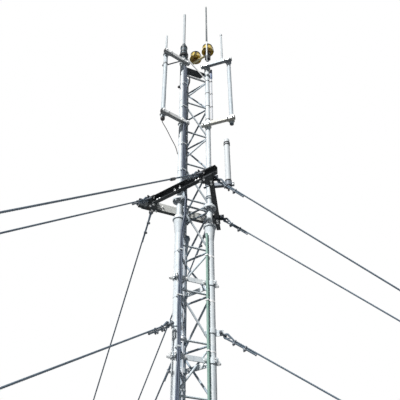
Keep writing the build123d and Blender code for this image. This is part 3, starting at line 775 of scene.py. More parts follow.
def make_frame_fastenings():
    nuts = Shape()
    web_bolts = Shape()
    plate_bolts = Shape()
    welds = Shape()
    side = (LEG_OD + U_BOLT_D) / 2
    face = WEB_N + CHANNEL_T
    for azimuth in AZIMUTH.values():
        place = at(UP * FRAME_Z, azimuth)
        for y, z in product((-side, side), (0, U_BOLT_SPACING)):
            seat = moved(place, face, y, z) @ TO_X
            nuts.washer(seat, U_WASHER_D, 2.0)
            nuts.nut(seat, U_NUT_FLATS, U_NUT_H, 0.5 * z)
            nuts.thread(moved(seat, z=9), U_BOLT_D + 0.6, 8.0, 1.5)
        for y in WEB_BOLTS:
            web_bolts.bolt(moved(place, face, y) @ TO_X, M12, CHANNEL_T)
        for y in (-LUG_OFFSET, LUG_OFFSET):
            lug_welds(welds, place, y, face)
        corner = polar(2 * WEB_N, azimuth + 60, FRAME_Z)
        for run, out in ((azimuth - 90, azimuth), (azimuth + 210, azimuth + 120)):
            for reach, turn in product(CORNER_BOLTS, (TO_DOWN, Matrix())):
                spot = corner + polar(reach, run) + polar(CHANNEL_W * 0.55, out)
                seat = moved(at(spot, out) @ turn, z=CHANNEL_H / 2 + CORNER_PLATE_T)
                plate_bolts.bolt(seat, M12, CORNER_PLATE_T + CHANNEL_T)
    piece("frame_clamp_nuts", nuts, BRIGHT)
    piece("frame_web_bolts", web_bolts, BRIGHT)
    piece("corner_plate_bolts", plate_bolts, BRIGHT)
    piece("lug_welds", welds, WELD, slot="dark_steel")


# Clamp frames
EAR_GAP = 15.0
EAR_T = 7.0
STUD_NUT_H = 19.0
BAR_BOLT_Y = 88.0


def clamp_ear(ears, bolts, centre, azimuth, inner, height, reach=26.0):
    """Two ears of a split band with a gap between them, and the bolts through them."""
    place = at(centre, azimuth)
    grip = EAR_GAP + EAR_T
    for y in (-EAR_GAP / 2, EAR_GAP / 2):
        ears.block(moved(place, inner + reach / 2, y), (reach, EAR_T, height), 1.2)
    for z in (-height * 0.26, height * 0.26):
        seat = moved(place, inner + reach * 0.56, grip / 2, z) @ TO_Y
        bolts.bolt(seat, M10, grip)


def make_clamp_fittings():
    for name, z in (("upper", CLAMP_UPPER_Z), ("lower", CLAMP_LOWER_Z)):
        ears = Shape()
        bolts = Shape()
        for leg in AZIMUTH:
            centre = leg_point(leg, z)
            clamp_ear(ears, bolts, centre, EAR_AZIMUTH[leg], CLAMP_BAND_OD / 2 - 3, 42.0)
            place = moved(at(centre, STUD_AZIMUTH[leg]), CLAMP_BAND_OD / 2) @ TO_X
            bolts.turned(place, [(-6, 22), (1, 22), (2, 20)], 28)
            bolts.nut(moved(place, z=2), 42.0, STUD_NUT_H)
            length = HEAVY_OD / 2 + STUD_REACH - CLAMP_BAND_OD / 2 - STUD_NUT_H + 1
            bolts.thread(moved(place, z=STUD_NUT_H), STUD_D + 1.2, length, 3.0, 18)
        outer = FACE_RADIUS + BAR_OD / 2 + CLAMP_BAR_GAP + CLAMP_BAR_T
        for start, end in FACES.values():
            place = at(UP * z, AZIMUTH[start] + 60)
            for y in (-BAR_BOLT_Y, BAR_BOLT_Y):
                bolts.bolt(moved(place, outer, y) @ TO_X, M12, CLAMP_BAR_T)
        piece(f"clamp_ears_{name}", ears, GALVANISED)
        piece(f"clamp_bolts_{name}", bolts, BRIGHT)


# Guys and their collars
def eye_point(leg, which):
    radius, azimuth = ANCHORS[leg]
    rise = atan2(FRAME_Z - EYE_Z, radius)
    steps = {"second": 1, "first": 0, "low": -1}[which]
    shift = steps * EYE_PITCH
    return polar(radius + shift * sin(rise), azimuth, EYE_Z + shift * cos(rise))


def guy_ends(leg, which):
    """Centres of a guy's two eyes, and its heading in degrees."""
    bottom = eye_point(leg, which)
    if which == "low":
        start = leg_point(leg, LOW_GUY_Z)
        top = start + (bottom - start).normalized() * (HEAVY_OD / 2 + COLLAR_REACH)
    else:
        side = -1 if which == "first" else 1
        azimuth = AZIMUTH[leg]
        top = polar(LUG_N, azimuth, FRAME_Z) + polar(side * LUG_OFFSET, azimuth + 90)
    run = bottom - top
    return top, bottom, degrees(atan2(run.y, run.x))


def guy_place(top, bottom):
    """X down the guy, Y level, Z square to both."""
    along = (bottom - top).normalized()
    side = UP.cross(along).normalized()
    place = Matrix((along, side, along.cross(side))).transposed().to_4x4()
    place.translation = top
    return place


def make_collar_fittings():
    ears = Shape()
    bolts = Shape()
    for leg in AZIMUTH:
        eye, heading = guy_ends(leg, "low")[::2]
        centre = leg_point(leg, eye.z + COLLAR_LIFT)
        clamp_ear(ears, bolts, centre, heading + 180, HEAVY_OD / 2 + 4, 40.0)
    piece("collar_ears", ears, GALVANISED)
    piece("collar_bolts", bolts, BRIGHT)


# Wire of the guys, thicker than its solids, as the photo shows it
GUY_D = 16.0
WIRES = 6
SLEEVE_FROM = 530.0
SLEEVE_TO = 602.0

# Forged fittings of the guys: shackles, thimbles, clips and turnbuckles
SHACKLE_PIN = 16.0
SHACKLE_PIN_OFF = 4.4
SHACKLE_BOW_AT = 36.0
SHACKLE_ROD = 13.0
THIMBLE_R = 13.5
THIMBLE_ROD = 8.8
WIRE_OFF = 9.0
LOOP_LENGTH = 76.0
TAIL_LENGTH = 235.0
CLIP_HALF = 10.5
CLIP_START = 16.0
TOP_CLIP_PITCH = 110.0
LOW_CLIP_PITCH = 92.0
BUCKLE_LENGTH = 300.0
SCREW_OUT = 52.0
EYE_TO_BOW = 9.0
EYE_TO_THIMBLE = 10.0
WIRE_LAP = 4.0
SCREW_LENGTH = 118.0


def shackle(shape, place, plate):
    """Bow shackle: pin through the eye at the placement, bow along +X. Gives the bow's far end."""
    arm = plate / 2 + 10.0
    pin = moved(place, SHACKLE_PIN_OFF)
    span = arm + 12.0
    shape.rod(pin @ Vector((0, -span, 0)), pin @ Vector((0, span + 5, 0)), SHACKLE_PIN, 16, 1.0)
    shape.nut(moved(pin, y=-span) @ TO_Y.inverted(), 24.0, 11.0)
    for side in (-1, 1):
        ear = moved(pin, y=side * (arm + 0.5) - 6) @ TO_Y
        shape.turned(ear, [(0, 13.0), (1.5, 15.0), (10.5, 15.0), (12, 13.0)], 20)
    half = [(28, arm + 2), (14, arm), (0, arm)]
    path = [pin @ Vector((x, -y, 0)) for x, y in reversed(half)]
    path += ring_path(moved(pin, SHACKLE_BOW_AT), arm + 3, 14, -pi / 2, pi)
    path += [pin @ Vector((x, y, 0)) for x, y in half]
    shape.sweep(path, SHACKLE_ROD / 2, 10)
    return SHACKLE_BOW_AT + SHACKLE_PIN_OFF + arm + 3


def thimble_loop(strand, fittings, place, bow, out):
    """Thimble round the bow, with the wire laid back beside itself. out is 1 down the guy, -1 up it."""
    centre = bow + 2.5
    groove = []
    wire = []
    for i in range(17):
        turn = radians(58 + 244 * i / 16)
        for path, radius in ((groove, THIMBLE_R), (wire, THIMBLE_R + WIRE_OFF)):
            path.append(Vector((centre + radius * cos(turn), 0, radius * sin(turn))))
    groove = [Vector((centre + 44, 0, 2))] + groove + [Vector((centre + 44, 0, -2))]
    main = Vector((centre + LOOP_LENGTH, 0, 0))
    tail = Vector((main.x, 0, -GUY_D - 0.5))
    wire = [main, main.lerp(wire[0], 0.45) + UP] + wire
    wire += [tail.lerp(wire[-1], 0.45) - UP, tail, tail + Vector((TAIL_LENGTH, 0, 0))]
    turned = place @ Matrix.Scale(out, 4, Vector((1, 0, 0)))
    fittings.sweep([turned @ p for p in groove], THIMBLE_ROD / 2, 8)
    strand.sweep([turned @ p for p in wire], GUY_D / 2, 10)
    cap = [turned @ (tail + Vector((TAIL_LENGTH + x, 0, 0))) for x in (-9, 5)]
    fittings.rod(*cap, GUY_D + 2.5, 12, 1)
    return main.x


def wire_clip(shape, place, x, out=1):
    """U-bolt clip: saddle under the tail and two nuts."""
    spot = moved(place, out * x)
    low = -GUY_D - 1
    shape.block(moved(spot, z=low - 9), (24, 34, 11), 2.0)
    arch = ring_path(spot @ TO_X @ Matrix.Rotation(pi / 2, 4, "Z"), CLIP_HALF, 10, 0, pi)[::-1]
    feet = [spot @ Vector((0, y, low - 26)) for y in (-CLIP_HALF, CLIP_HALF)]
    shape.sweep([feet[0]] + arch + [feet[1]], 4.2, 8)
    for y in (-CLIP_HALF, CLIP_HALF):
        shape.nut(moved(spot, 0, y, low - 14.5) @ TO_DOWN, 14.0, 8.0)


def turnbuckle(shape, place, start, end):
    """Open body between two screws, along X from start to end."""
    for x, turn in ((start, TO_X), (end, TO_X.inverted())):
        boss = moved(place, x) @ turn
        shape.turned(boss, [(0, 12.0), (3, 16.0), (32, 17.0), (44, 12.0)], 20)
        shape.nut(moved(boss, z=-13), 26.0, 12.0, 0.2)
    for side in (-1, 1):
        rail = [(start + 26, 8), (start + 44, 14), (end - 44, 14), (end - 26, 8)]
        shape.sweep([place @ Vector((x, side * y, 0)) for x, y in rail], 6.5, 10)
    for x in (start - 44, end - 74):
        shape.thread(moved(place, x) @ TO_X, M16, SCREW_LENGTH)


def screw_eye(shape, place, x, out):
    """Forged eye at the end of a turnbuckle's screw, round a shackle's bow or a thimble."""
    spot = moved(place, x)
    shape.sweep(ring_path(spot @ Matrix.Rotation(pi / 2, 4, "X"), 17.0, 22), 7.0, 9, closed=True)
    shape.rod(spot @ Vector((-out * 20, 0, 0)), spot @ Vector((-out * 44, 0, 0)), 17.0, 14)


def twist_strand(shape, place, start, end, pitch=118.0, steps=11):
    """Twisted strand along X, with a ridge for each of its outer wires."""
    count = int(ceil((end - start) / pitch * steps))
    rings = []
    for i in range(count + 1):
        x = start + (end - start) * i / count
        ring = []
        for j in range(2 * WIRES):
            turn = 2 * pi * (x / pitch + j / (2 * WIRES))
            reach = GUY_D / 2 * (1.03 if j % 2 == 0 else 0.88)
            ring.append(place @ Vector((x, reach * cos(turn), reach * sin(turn))))
        rings.append(ring)
    shape.skin(rings)


def make_guy(leg, which):
    """Shackle and thimble at the top, the strand, then thimble, turnbuckle and shackle at the anchor."""
    top, bottom = guy_ends(leg, which)[:2]
    place = guy_place(top, bottom)
    length = (bottom - top).length
    strand = Shape()
    fittings = Shape()
    main = thimble_loop(strand, fittings, place, shackle(fittings, place, LUG_T), 1)
    for i in range(2):
        wire_clip(fittings, place, main + CLIP_START + TOP_CLIP_PITCH * i)
    foot = moved(place, length) @ Matrix.Rotation(pi, 4, "Z")
    eye = length - shackle(fittings, foot, FIN_T) - EYE_TO_BOW
    buckle_end = eye - SCREW_OUT
    buckle_start = buckle_end - BUCKLE_LENGTH
    upper_eye = buckle_start - SCREW_OUT
    screw_eye(fittings, place, eye, 1)
    turnbuckle(fittings, place, buckle_start, buckle_end)
    screw_eye(fittings, place, upper_eye, -1)
    low_end = moved(place, upper_eye)
    low_main = thimble_loop(strand, fittings, low_end, EYE_TO_THIMBLE, -1)
    for i in range(3):
        wire_clip(fittings, low_end, low_main + CLIP_START + LOW_CLIP_PITCH * i, -1)
    twist_strand(strand, place, main - WIRE_LAP, upper_eye - low_main + WIRE_LAP)
    node = f"guy_{leg}_{which}"
    piece(f"{node}_strand", strand, STRAND, node)
    piece(f"{node}_fittings", fittings, FORGED)


def make_guys():
    for leg, which in product(ANCHORS, ("first", "second", "low")):
        make_guy(leg, which)
    place = guy_place(*guy_ends("left", "second")[:2])
    sleeve = Shape()
    sleeve.rod(*[place @ Vector((x, 0, -3)) for x in (SLEEVE_FROM, SLEEVE_TO)], 30.0, 18, 3)
    piece("guy_sleeve", sleeve, CABLE)


# Anchors
ANCHOR_PLATE = 340.0
ANCHOR_SETBACK = 61.0
ANCHOR_T = 18.0
RIB_T = 12.0
RIB_REACH = 122.0


def make_anchor_welds():
    """Beads along the fin's foot and at its two side plates."""
    welds = Shape()
    fin_end = ANCHOR_PLATE / 2 - FIN_T
    rib_end = FIN_T / 2 + RIB_REACH - 4.0
    for radius, azimuth in ANCHORS.values():
        place = at(polar(radius + ANCHOR_SETBACK, azimuth, ANCHOR_T), azimuth)
        for side in (-1, 1):
            y = side * FIN_T / 2
            weld_line(welds, place @ Vector((-fin_end, y, 0)), place @ Vector((fin_end, y, 0)), 4.0, 40)
            for x in (2 * FIN_T - RIB_T / 2, 2 * FIN_T + RIB_T / 2):
                weld_line(welds, place @ Vector((x, y, 0)), place @ Vector((x, side * rib_end, 0)))
    piece("anchor_welds", welds, WELD)


# Stand-off arms
ARM_PLATE_T = 5.0
ARM_PLATE_H = 34.0
ARM_PLATE_RIM = 15.0
BRACE_LOW = 8022.0
BRACE_HIGH = 8246.0
BRACE_OD = 16.0
BRACE_EARS = 103.0


def make_arm_fittings():
    """Back plates with the U-bolts' nuts at each end of an arm, and plugs in its ends."""
    pad = LEG_OD / 2
    for leg, (azimuth, reach, levels) in ARMS.items():
        side = -1 if cos(radians(azimuth)) > 0 else 1
        turn = TO_Y if side > 0 else TO_Y.inverted()
        nuts = Shape()
        caps = Shape()
        for z in levels:
            place = at(leg_point(leg, z), azimuth)
            for x, diameter in ((0, LEG_OD), (reach, POLE_OD)):
                gap = (diameter + M12) / 2
                plate = moved(place, x, side * (pad + ARM_SIZE + 0.5))
                nuts.block(plate, (2 * (gap + ARM_PLATE_RIM), ARM_PLATE_T, ARM_PLATE_H), 1.0)
                for edge in (-gap, gap):
                    seat = moved(plate, edge, side * ARM_PLATE_T / 2) @ turn
                    nuts.washer(seat, 25.0)
                    nuts.nut(moved(seat, z=2.0), 21.0, 10.0, 0.3)
                    nuts.thread(moved(seat, z=11), M12 + 0.6, 11.0, 1.8)
            y = side * (pad + ARM_SIZE / 2)
            for x in (-ARM_INNER - 2, reach + ARM_OUTER + 2):
                caps.block(moved(place, x, y), (6, ARM_SIZE + 1, ARM_SIZE + 1), 1.5)
        piece(f"arm_nuts_{leg}", nuts, BRIGHT)
        piece(f"arm_caps_{leg}", caps, BLACK)


def pole_point(leg, z):
    azimuth, reach = ARMS[leg][:2]
    return leg_point(leg, z) + polar(reach, azimuth)


def make_arm_brace():
    """Dark stay from the left pole up to the leg, with a band at each end."""
    away = polar(1, ARMS["left"][0])
    low = pole_point("left", BRACE_LOW)
    high = leg_point("left", BRACE_HIGH)
    stay = Shape()
    stay.rod(low - away * (POLE_OD / 2 - 1), high + away * (LEG_OD / 2 - 1), BRACE_OD, 16)
    for point, radius in ((low, POLE_OD / 2), (high, LEG_OD / 2)):
        stay.band(at(point), radius, radius + 4, 22)
        clamp_ear(stay, stay, point, BRACE_EARS, radius + 1, 20.0, 20.0)
    piece("arm_brace_left", stay, SATIN)


# Aerials
ROD_SHIFT = 16.0
COIL_TURNS = 3
COIL_STEPS = 22
TUBE_BRACKET_RISE = 40.0


def node_ends(name):
    """Middle of a node in X and Y, and its lowest and highest Z, in millimetres."""
    corners = [Vector(corner) / MM for corner in frame["nodes"][name].bound_box]
    middle = sum(corners, Vector()) / 8
    heights = [corner.z for corner in corners]
    return middle, min(heights), max(heights)


def make_tube_aerial_fittings():
    """Black collars and cable plug of the tube aerial, and its bracket's ears at the leg and the tube."""
    spot = leg_point("right") + polar(TUBE_REACH, AZIMUTH["right"])
    collars = Shape()
    for rise, height in ((642, 14), (612, 10), (8, 18), (84, 12)):
        collars.band(at(spot + UP * (TUBE_FOOT + rise)), TUBE_D / 2 - 1, TUBE_D / 2 + 5, height)
    plug = at(spot + UP * TUBE_FOOT) @ TO_DOWN
    collars.turned(plug, [(-2, 27.0), (5, 29.0), (12, 20.0), (16, 11.0), (46, 10.0), (50, 7.0)])
    piece("tube_aerial_collars", collars, BLACK)
    bolts = Shape()
    ears = Shape()
    away = AZIMUTH["right"]
    for point, outer, azimuth in ((leg_point("right"), LEG_OD, away + 180), (spot, TUBE_D, away)):
        clamp_ear(ears, bolts, point + UP * (TUBE_FOOT + TUBE_BRACKET_RISE), azimuth, outer / 2 + 5, 44.0)
    piece("tube_bracket_ears", ears, FORGED)
    piece("tube_bracket_bolts", bolts, BRIGHT)


def make_whip_sleeves():
    """Slim sleeves over the whips, thicker than the solids as the photo shows them."""
    foot = at(leg_point("right", LEG_TOP))
    tip = node_ends("whip_centre")[2] - LEG_TOP
    socket = Shape()
    socket.turned(foot, [(236, 11), (240, 13), (262, 12), (270, 9.6), (538, 9.2), (545, 6)], 20)
    piece("whip_centre_sleeve", socket, WHITE)
    sheath = Shape()
    sheath.turned(foot, [(540, 9.0), (546, 12.0), (tip - 30, 10.0), (tip - 14, 8.0), (tip - 2, 3.0)], 20)
    piece("whip_centre_sheath", sheath, TEAL)
    sleeves = Shape()
    for name, bare in (("whip_left", 2.0), ("whip_right", 30.0)):
        middle, low, high = node_ends(name)
        start = low + 34.0
        length = high - bare - start
        place = at(Vector((middle.x, middle.y, start)))
        sleeves.turned(place, [(0, 11), (2, 13.0), (length - 4, 11.5), (length, 9)], 20)
    piece("whip_sleeves", sleeves, LAMINATE)


def make_rod_base_bands():
    centre = leg_point("left", LEG_TOP) + polar(ROD_SHIFT, AZIMUTH["left"] + 180)
    bands = Shape()
    for z in (34, 150, 236):
        bands.band(at(centre + UP * z), 41.0, 45.5, 16.0, 32)
    bands.turned(at(centre + UP * 290), [(0, 21), (5, 23.5), (26, 22), (30, 18)], 28)
    piece("rod_base_bands", bands, BLACK)
    path = []
    for i in range(COIL_STEPS * COIL_TURNS):
        turn = 2 * pi * i / COIL_STEPS
        rise = 60 + 14 * i / COIL_STEPS + 10 * sin(turn + 0.8)
        path.append(centre + Vector((52 * cos(turn), 52 * sin(turn), rise)))
    coil = Shape()
    coil.sweep(path, 5.5, 9)
    piece("rod_base_coil", coil, CABLE)


# Beacons
FLUTES = 20
LENS_SIDES = 6 * FLUTES
LENS_LOW = (80.0, 42.0)
LENS_HIGH = (60.0, 146.0)
LENS_STEPS = 24
FLUTE_DEPTH = 2.6
LENS_FLOOR = [(32, 38), (42, 46), (52, 36), (62, 44), (72, 36)]
LENS_CROWN = [(52, 151), (28, 155), (6, 156)]


def lens_wall():
    """Rings of (radius at a rib, height) up the lens, which swells five times on the way."""
    for i in range(LENS_STEPS + 1):
        share = i / LENS_STEPS
        radius, height = [low + (high - low) * share for low, high in zip(LENS_LOW, LENS_HIGH)]
        yield radius + 1.5 * abs(sin(5 * pi * share)), height


def lens_ring(centre, radius, height, depth=0.0):
    """Ring of the lens, with flutes of a depth between its ribs."""
    ring = []
    for j in range(LENS_SIDES):
        turn = 2 * pi * j / LENS_SIDES
        reach = radius - depth * (1 - abs(cos(FLUTES * turn / 2)))
        ring.append(centre + Vector((reach * cos(turn), reach * sin(turn), height)))
    return ring


def beacon_seat(name):
    """Placement under the middle of a beacon, with Y along the beacons' bar."""
    return moved(at(UP * BEACON_SEAT, BEACON_FACE_AZ), BEACON_OUT, BEACON_ALONG[name])


def make_beacon(name):
    """Fluted amber lens over a stepped amber floor, on a brown drum, with a dark cap and clips."""
    centre = beacon_seat(name).translation
    base = Shape()
    base.turned(at(centre), [(0, 34), (2, 38), (4, 39), (30, 39), (33, 37), (37, 37), (40, 34)], 40)
    for azimuth in range(30, 360, 90):
        base.block(moved(at(centre, azimuth), 41, 0, 17), (8, 14, 26), 1.5)
    # the drum's brown is painted shade of the amber lens's underside
    piece(f"{name}_drum", base, BROWN)
    rings = [lens_ring(centre, *step) for step in LENS_FLOOR]
    rings += [lens_ring(centre, *step, FLUTE_DEPTH) for step in lens_wall()]
    rings += [lens_ring(centre, *step) for step in LENS_CROWN]
    lens = Shape()
    lens.skin(rings)
    piece(f"{name}_lens", lens, AMBER, name)
    cap = Shape()
    cap.band(at(centre + UP * 138), 57, 68, 12, 40, 2.0)
    cap.turned(at(centre + UP * 148), [(0, 52), (3, 55), (7, 53), (10, 40), (12, 10)], 40)
    for azimuth in range(60, 360, 120):
        place = at(centre, BEACON_FACE_AZ + azimuth)
        cap.block(moved(place, 80.5, 0, 46), (7, 20, 20), 1.5)
        cap.sweep([place @ Vector((x, 0, z)) for x, z in ((81, 54), (77, 96), (70, 136))], 3.2, 8)
    piece(f"{name}_cap", cap, BLACK)


def make_beacon_box():
    """Black box with two cable glands under the outer beacon."""
    place = beacon_seat("beacon_outer")
    box = Shape()
    box.block(moved(place, z=-70), (52, 60, 100), 3.0)
    box.block(moved(place, z=-22), (56, 64, 6), 1.5)
    for y in (-16, 16):
        box.turned(at(place @ Vector((0, y, -120))) @ TO_DOWN, [(-2, 8), (14, 8), (18, 5)], 14)
    piece("beacon_box", box, BLACK)


# Cables clipped to the mast. REAR_FEEDER and RIGHT_CABLE are (distance from the leg's axis, azimuth).
REAR_FEEDER = (78.0, 255.0)
RIGHT_CABLE = (50.0, -23.0)
SPLICE_Z = 6100.0
CABLE_FOOT = 260.0
FEEDER_D = 16.4
FEEDER_SIDE = 8.4
SHORT_FEEDER_SIDE = 25.4
SHORT_FEEDER_OFF = 45.0
GREEN_D = 24.0
CLIP_BAYS = 11
JOINT_CLEAR = 140.0
GREEN_AZ = 215.0
CORD_AZ = 192.0

# Routes down the legs, as (height, distance from the leg's axis, azimuth)
LEFT_FEEDER_LINE = [
    (8120, 47, 285), (8060, 47, 285), (7600, 47, 285), (7240, 47, 285), (7120, 62, 288), (7000, 50, 288),
    (6500, 47, 287), (6330, 49, 290), (6230, 58, 298), (6130, 62, 301), (6075, 80, 302), (6000, 82, 302),
    (5900, 77, 300), (5790, 80, 296), (5700, 70, 288), (5560, 60, 280), (5240, 60, 273), (5150, 62, 274),
    (4800, 60, 267), (4390, 62, 273), (4100, 60, 267), (3500, 60, 267), (3180, 62, 272), (3080, 82, 278),
    (JOINT_1, 84, 280), (2970, 82, 278), (2870, 62, 272), (2200, 60, 267), (1500, 60, 267), (800, 60, 267),
    (330, 60, 272), (180, 84, 280), (90, 98, 282), (52, 104, 282),
]

# Height and azimuth of the short feeder's points and clips
SHORT_FEEDER_LINE = [(8110, 285), (7900, 285), (7600, 285), (7000, 286), (6500, 287), (6380, 288)]
SHORT_FEEDER_CLIPS = [(7800, 285), (7400, 285), (6800, 287), (6420, 288)]

# Height and distance from the leg's axis
GREEN_LINE = [
    (5664, 64), (5640, 60), (5300, 60), (4700, 60), (4100, 60), (3500, 60), (3180, 60), (3080, 82),
    (JOINT_1, 86), (2970, 82), (2870, 60), (2200, 60), (1500, 60), (800, 60), (330, 60), (180, 90),
    (92, 106), (60, 114),
]

# Heights of the grey cable, its ties and the cord above its ball
RIGHT_CABLE_LINE = (8240, 8000, 7800, 7600, 7400, 7262)
RIGHT_CABLE_TIES = (7330, 7560, 7790, 8020)
CORD_LINE = (8150, 8050, 7900, 7790)
BALL_Z = 7762.0

# Hanging cable from its plug to the leg, as (share of the way, drop)
DROOP_LINE = ((0.26, 140), (0.55, 235), (0.85, 330))

# Way of the rear feeder across the head, as (X, Y, rise above the top level)
HEAD_LINE = ((-8, 70, 100), (-16, 50, 165), (-60, 38, 240), (-112, -50, 330))


def smooth_path(points, steps=6):
    """Points of a soft curve through the given ones."""
    ends = [points[0] * 2 - points[1]] + points + [points[-1] * 2 - points[-2]]
    path = []
    for a, b, c, d in zip(ends, ends[1:], ends[2:], ends[3:]):
        for i in range(steps):
            t = i / steps
            curve = b * 2 + (c - a) * t + (a * 2 - b * 5 + c * 4 - d) * t * t + (b * 3 - a - c * 3 + d) * t**3
            path.append(curve / 2)
    path.append(points[-1])
    return path


def saddle(clips, place, leg_r, reach, width, shift=0.0):
    """Strap clip: band round the leg, strap over the cables and a cheek down each side of them."""
    clips.band(place, leg_r, leg_r + 2.0, 14, 28, 0.4)
    clips.block(moved(place, reach + 1.5, shift), (3, width, 14), 0.6)
    for side in (-1, 1):
        y = shift + side * (width / 2 - 1.5)
        if abs(y) < leg_r:
            foot = sqrt(leg_r * leg_r - y * y)
            clips.block(moved(place, (foot + reach) / 2 + 1, y), (reach - foot + 2, 3, 14), 0.6)


def bay_saddles(clips, leg, top, azimuth, reach, width, sway=0.0):
    """A strap clip in each bay of the heavy leg, clear of its joint."""
    for bay in range(CLIP_BAYS):
        z = top - BAY * bay + sway * sin(3 * bay)
        if abs(z - JOINT_1) >= JOINT_CLEAR:
            saddle(clips, at(leg_point(leg, z), azimuth), HEAVY_OD / 2, reach, width)


def make_rear_feeder():
    """Feeder down the rear leg on stand-off clips: black at the top, pale from its splice down."""
    line = leg_point("rear") + polar(*REAR_FEEDER)
    head = [line + UP * (TOP_LEVEL - 120), line + UP * (TOP_LEVEL + 20)]
    for x, y, rise in HEAD_LINE:
        head.append(Vector((x, y, TOP_LEVEL + rise)))
    upper = Shape()
    upper.sweep([line + UP * SPLICE_Z] + smooth_path(head), 8.0, 12)
    upper.turned(at(line + UP * (SPLICE_Z - 60)), [(0, 9), (4, 12), (116, 12), (120, 9)], 18)
    piece("feeder_cable_upper", upper, CABLE)
    lower = Shape()
    lower.sweep([line + UP * CABLE_FOOT, line + UP * SPLICE_Z], 7.0, 12)
    seal = [(0, 9), (3, 11), (40, 11), (46, 8), (60, 8), (62, 6)]
    lower.turned(at(line + UP * (CABLE_FOOT + 2)) @ TO_DOWN, seal, 18)
    piece("feeder_cable_lower", lower, GREY_CABLE)
    off, azimuth = REAR_FEEDER
    clips = Shape()
    for foot, bays, _ in SECTIONS.values():
        for bay in range(bays):
            z = foot + JOINT_HALF + BAY * (bay + 0.32)
            radius = leg_diameter(z) / 2
            place = at(leg_point("rear", z), azimuth)
            clips.band(at(leg_point("rear", z)), radius, radius + 2.5, 16, 28, 0.5)
            clips.block(moved(place, (radius + off - 9) / 2), (off - 9 - radius + 2, 4, 16), 0.6)
            clips.band(at(line + UP * z), 8.0, 11.0, 16, 16, 0.5)
    piece("feeder_clips", clips, GALVANISED)


def make_left_feeders():
    """Two slate feeders down the front of the left leg, bowed out round the flanges, and a short third."""
    axis = leg_point("left")
    cables = Shape()
    for shift in (-FEEDER_SIDE, FEEDER_SIDE):
        path = [axis + polar(off, turn) + polar(shift, turn + 90, z) for z, off, turn in LEFT_FEEDER_LINE]
        cables.sweep(smooth_path(path, 5), FEEDER_D / 2, 12)
    path = []
    for z, turn in SHORT_FEEDER_LINE:
        path.append(axis + polar(SHORT_FEEDER_OFF, turn) + polar(SHORT_FEEDER_SIDE, turn + 90, z))
    cables.sweep(smooth_path(path, 5), FEEDER_D / 2, 12)
    cables.turned(at(path[-1] - UP * 4) @ TO_DOWN, [(-60, 9), (-56, 11.5), (20, 11.5), (26, 7)], 16)
    piece("left_feeders", cables, SLATE_CABLE)
    clips = Shape()
    for z, azimuth in SHORT_FEEDER_CLIPS:
        place = at(leg_point("left", z), azimuth)
        saddle(clips, place, LEG_OD / 2, reach=55.0, width=58, shift=8.0)
    bay_saddles(clips, "left", top=5400, azimuth=269.0, reach=68.0, width=46)
    piece("left_feeder_clips", clips, GALVANISED)


def make_green_cable():
    """Thick green cable down the front of the right heavy leg, bowed out round the flange joint."""
    cable = Shape()
    path = [leg_point("right", z) + polar(off, GREEN_AZ) for z, off in GREEN_LINE]
    cable.sweep(smooth_path(path, 5), GREEN_D / 2, 16)
    piece("green_cable", cable, GREEN_CABLE)
    clips = Shape()
    bay_saddles(clips, "right", top=5420, azimuth=GREEN_AZ, reach=72.0, width=31, sway=6)
    piece("green_cable_clips", clips, BRIGHT)


def make_right_leg_cable(black):
    """Grey cable with a blue sleeve at the right leg's head, and its black ties."""
    line = leg_point("right") + polar(*RIGHT_CABLE)
    blue = Shape()
    blue.turned(at(line + UP * 8070), [(0, 10), (8, 14), (70, 15), (140, 15), (156, 12)], 20)
    piece("blue_sleeve", blue, BLUE_TAPE)
    grey = Shape()
    grey.sweep(smooth_path([line + UP * z for z in RIGHT_CABLE_LINE]), 10.0, 14)
    piece("right_leg_cable", grey, GREY_CABLE)
    black.band(at(line + UP * 8236), 5.0, 14.0, 16)
    for z in RIGHT_CABLE_TIES:
        place = at(leg_point("right", z))
        black.band(place, LEG_OD / 2, LEG_OD / 2 + 2.2, 9, 28, 0.5)
        black.band(at(line + UP * z), 10.0, 12.4, 9, 18, 0.5)
        black.block(moved(at(leg_point("right", z), RIGHT_CABLE[1]), 34.0), (9, 5, 9), 0.5)


def make_left_leg_cords(black):
    """Cord with a black ball, and the thin cable from the plug under the left pole back to the leg."""
    axis = leg_point("left")
    cord = axis + polar(33.0, CORD_AZ)
    ball = axis + polar(46.5, CORD_AZ)
    black.sweep(smooth_path([cord + UP * z for z in CORD_LINE] + [ball + UP * BALL_Z]), 3.2, 8)
    round_end = [(0, 3), (3, 10), (9, 15), (17, 17), (25, 15), (31, 10), (34, 3)]
    black.turned(at(ball + UP * (BALL_Z - 38)), round_end, 22)
    foot = pole_point("left", ARMS["left"][2][0] - 50)
    black.turned(at(foot - UP * 34), [(0, 8), (4, 20), (14, 25), (34, 25), (35, 20)], 24)
    back = axis + polar(34.0, 178.0, foot.z)
    droop = [foot - UP * 30, foot - UP * 66]
    droop += [foot.lerp(back, share) - UP * drop for share, drop in DROOP_LINE]
    black.sweep(smooth_path(droop + [back - UP * 420]), 4.5, 9)


def make_leg_cables():
    black = Shape()
    make_right_leg_cable(black)
    make_left_leg_cords(black)
    piece("black_cables", black, CABLE)


def dress_nodes():
    """Gives every solid that stays its finish."""
    special = {
        "torsion_beam_rear": DARK_WEB, "head_stay": PALE_ZINC, "arm_left_lower": PALE_ZINC,
        "arm_left_upper": PALE_ZINC, "arm_right_lower": CREAM_ZINC, "arm_right_upper": POLE_ZINC,
        "pole_left": POLE_ZINC, "pole_right": POLE_ZINC, "tube_aerial_bracket": FORGED,
        # the rear legs take the darker zinc as painted shade
        "rod_aerial": LAMINATE, "leg_rear_lower": SHADE_ZINC, "leg_rear_middle": SHADE_ZINC,
        "leg_rear_upper": SHADE_ZINC,
    }
    slots = {part["node"]: part["material_slot"] for part in frame["record"]["subparts"]}
    for name, thing in frame["nodes"].items():
        finish = special.get(name, SLOT_FINISHES[slots[name]][0])
        thing.data.materials.clear()
        thing.data.materials.append(finish)


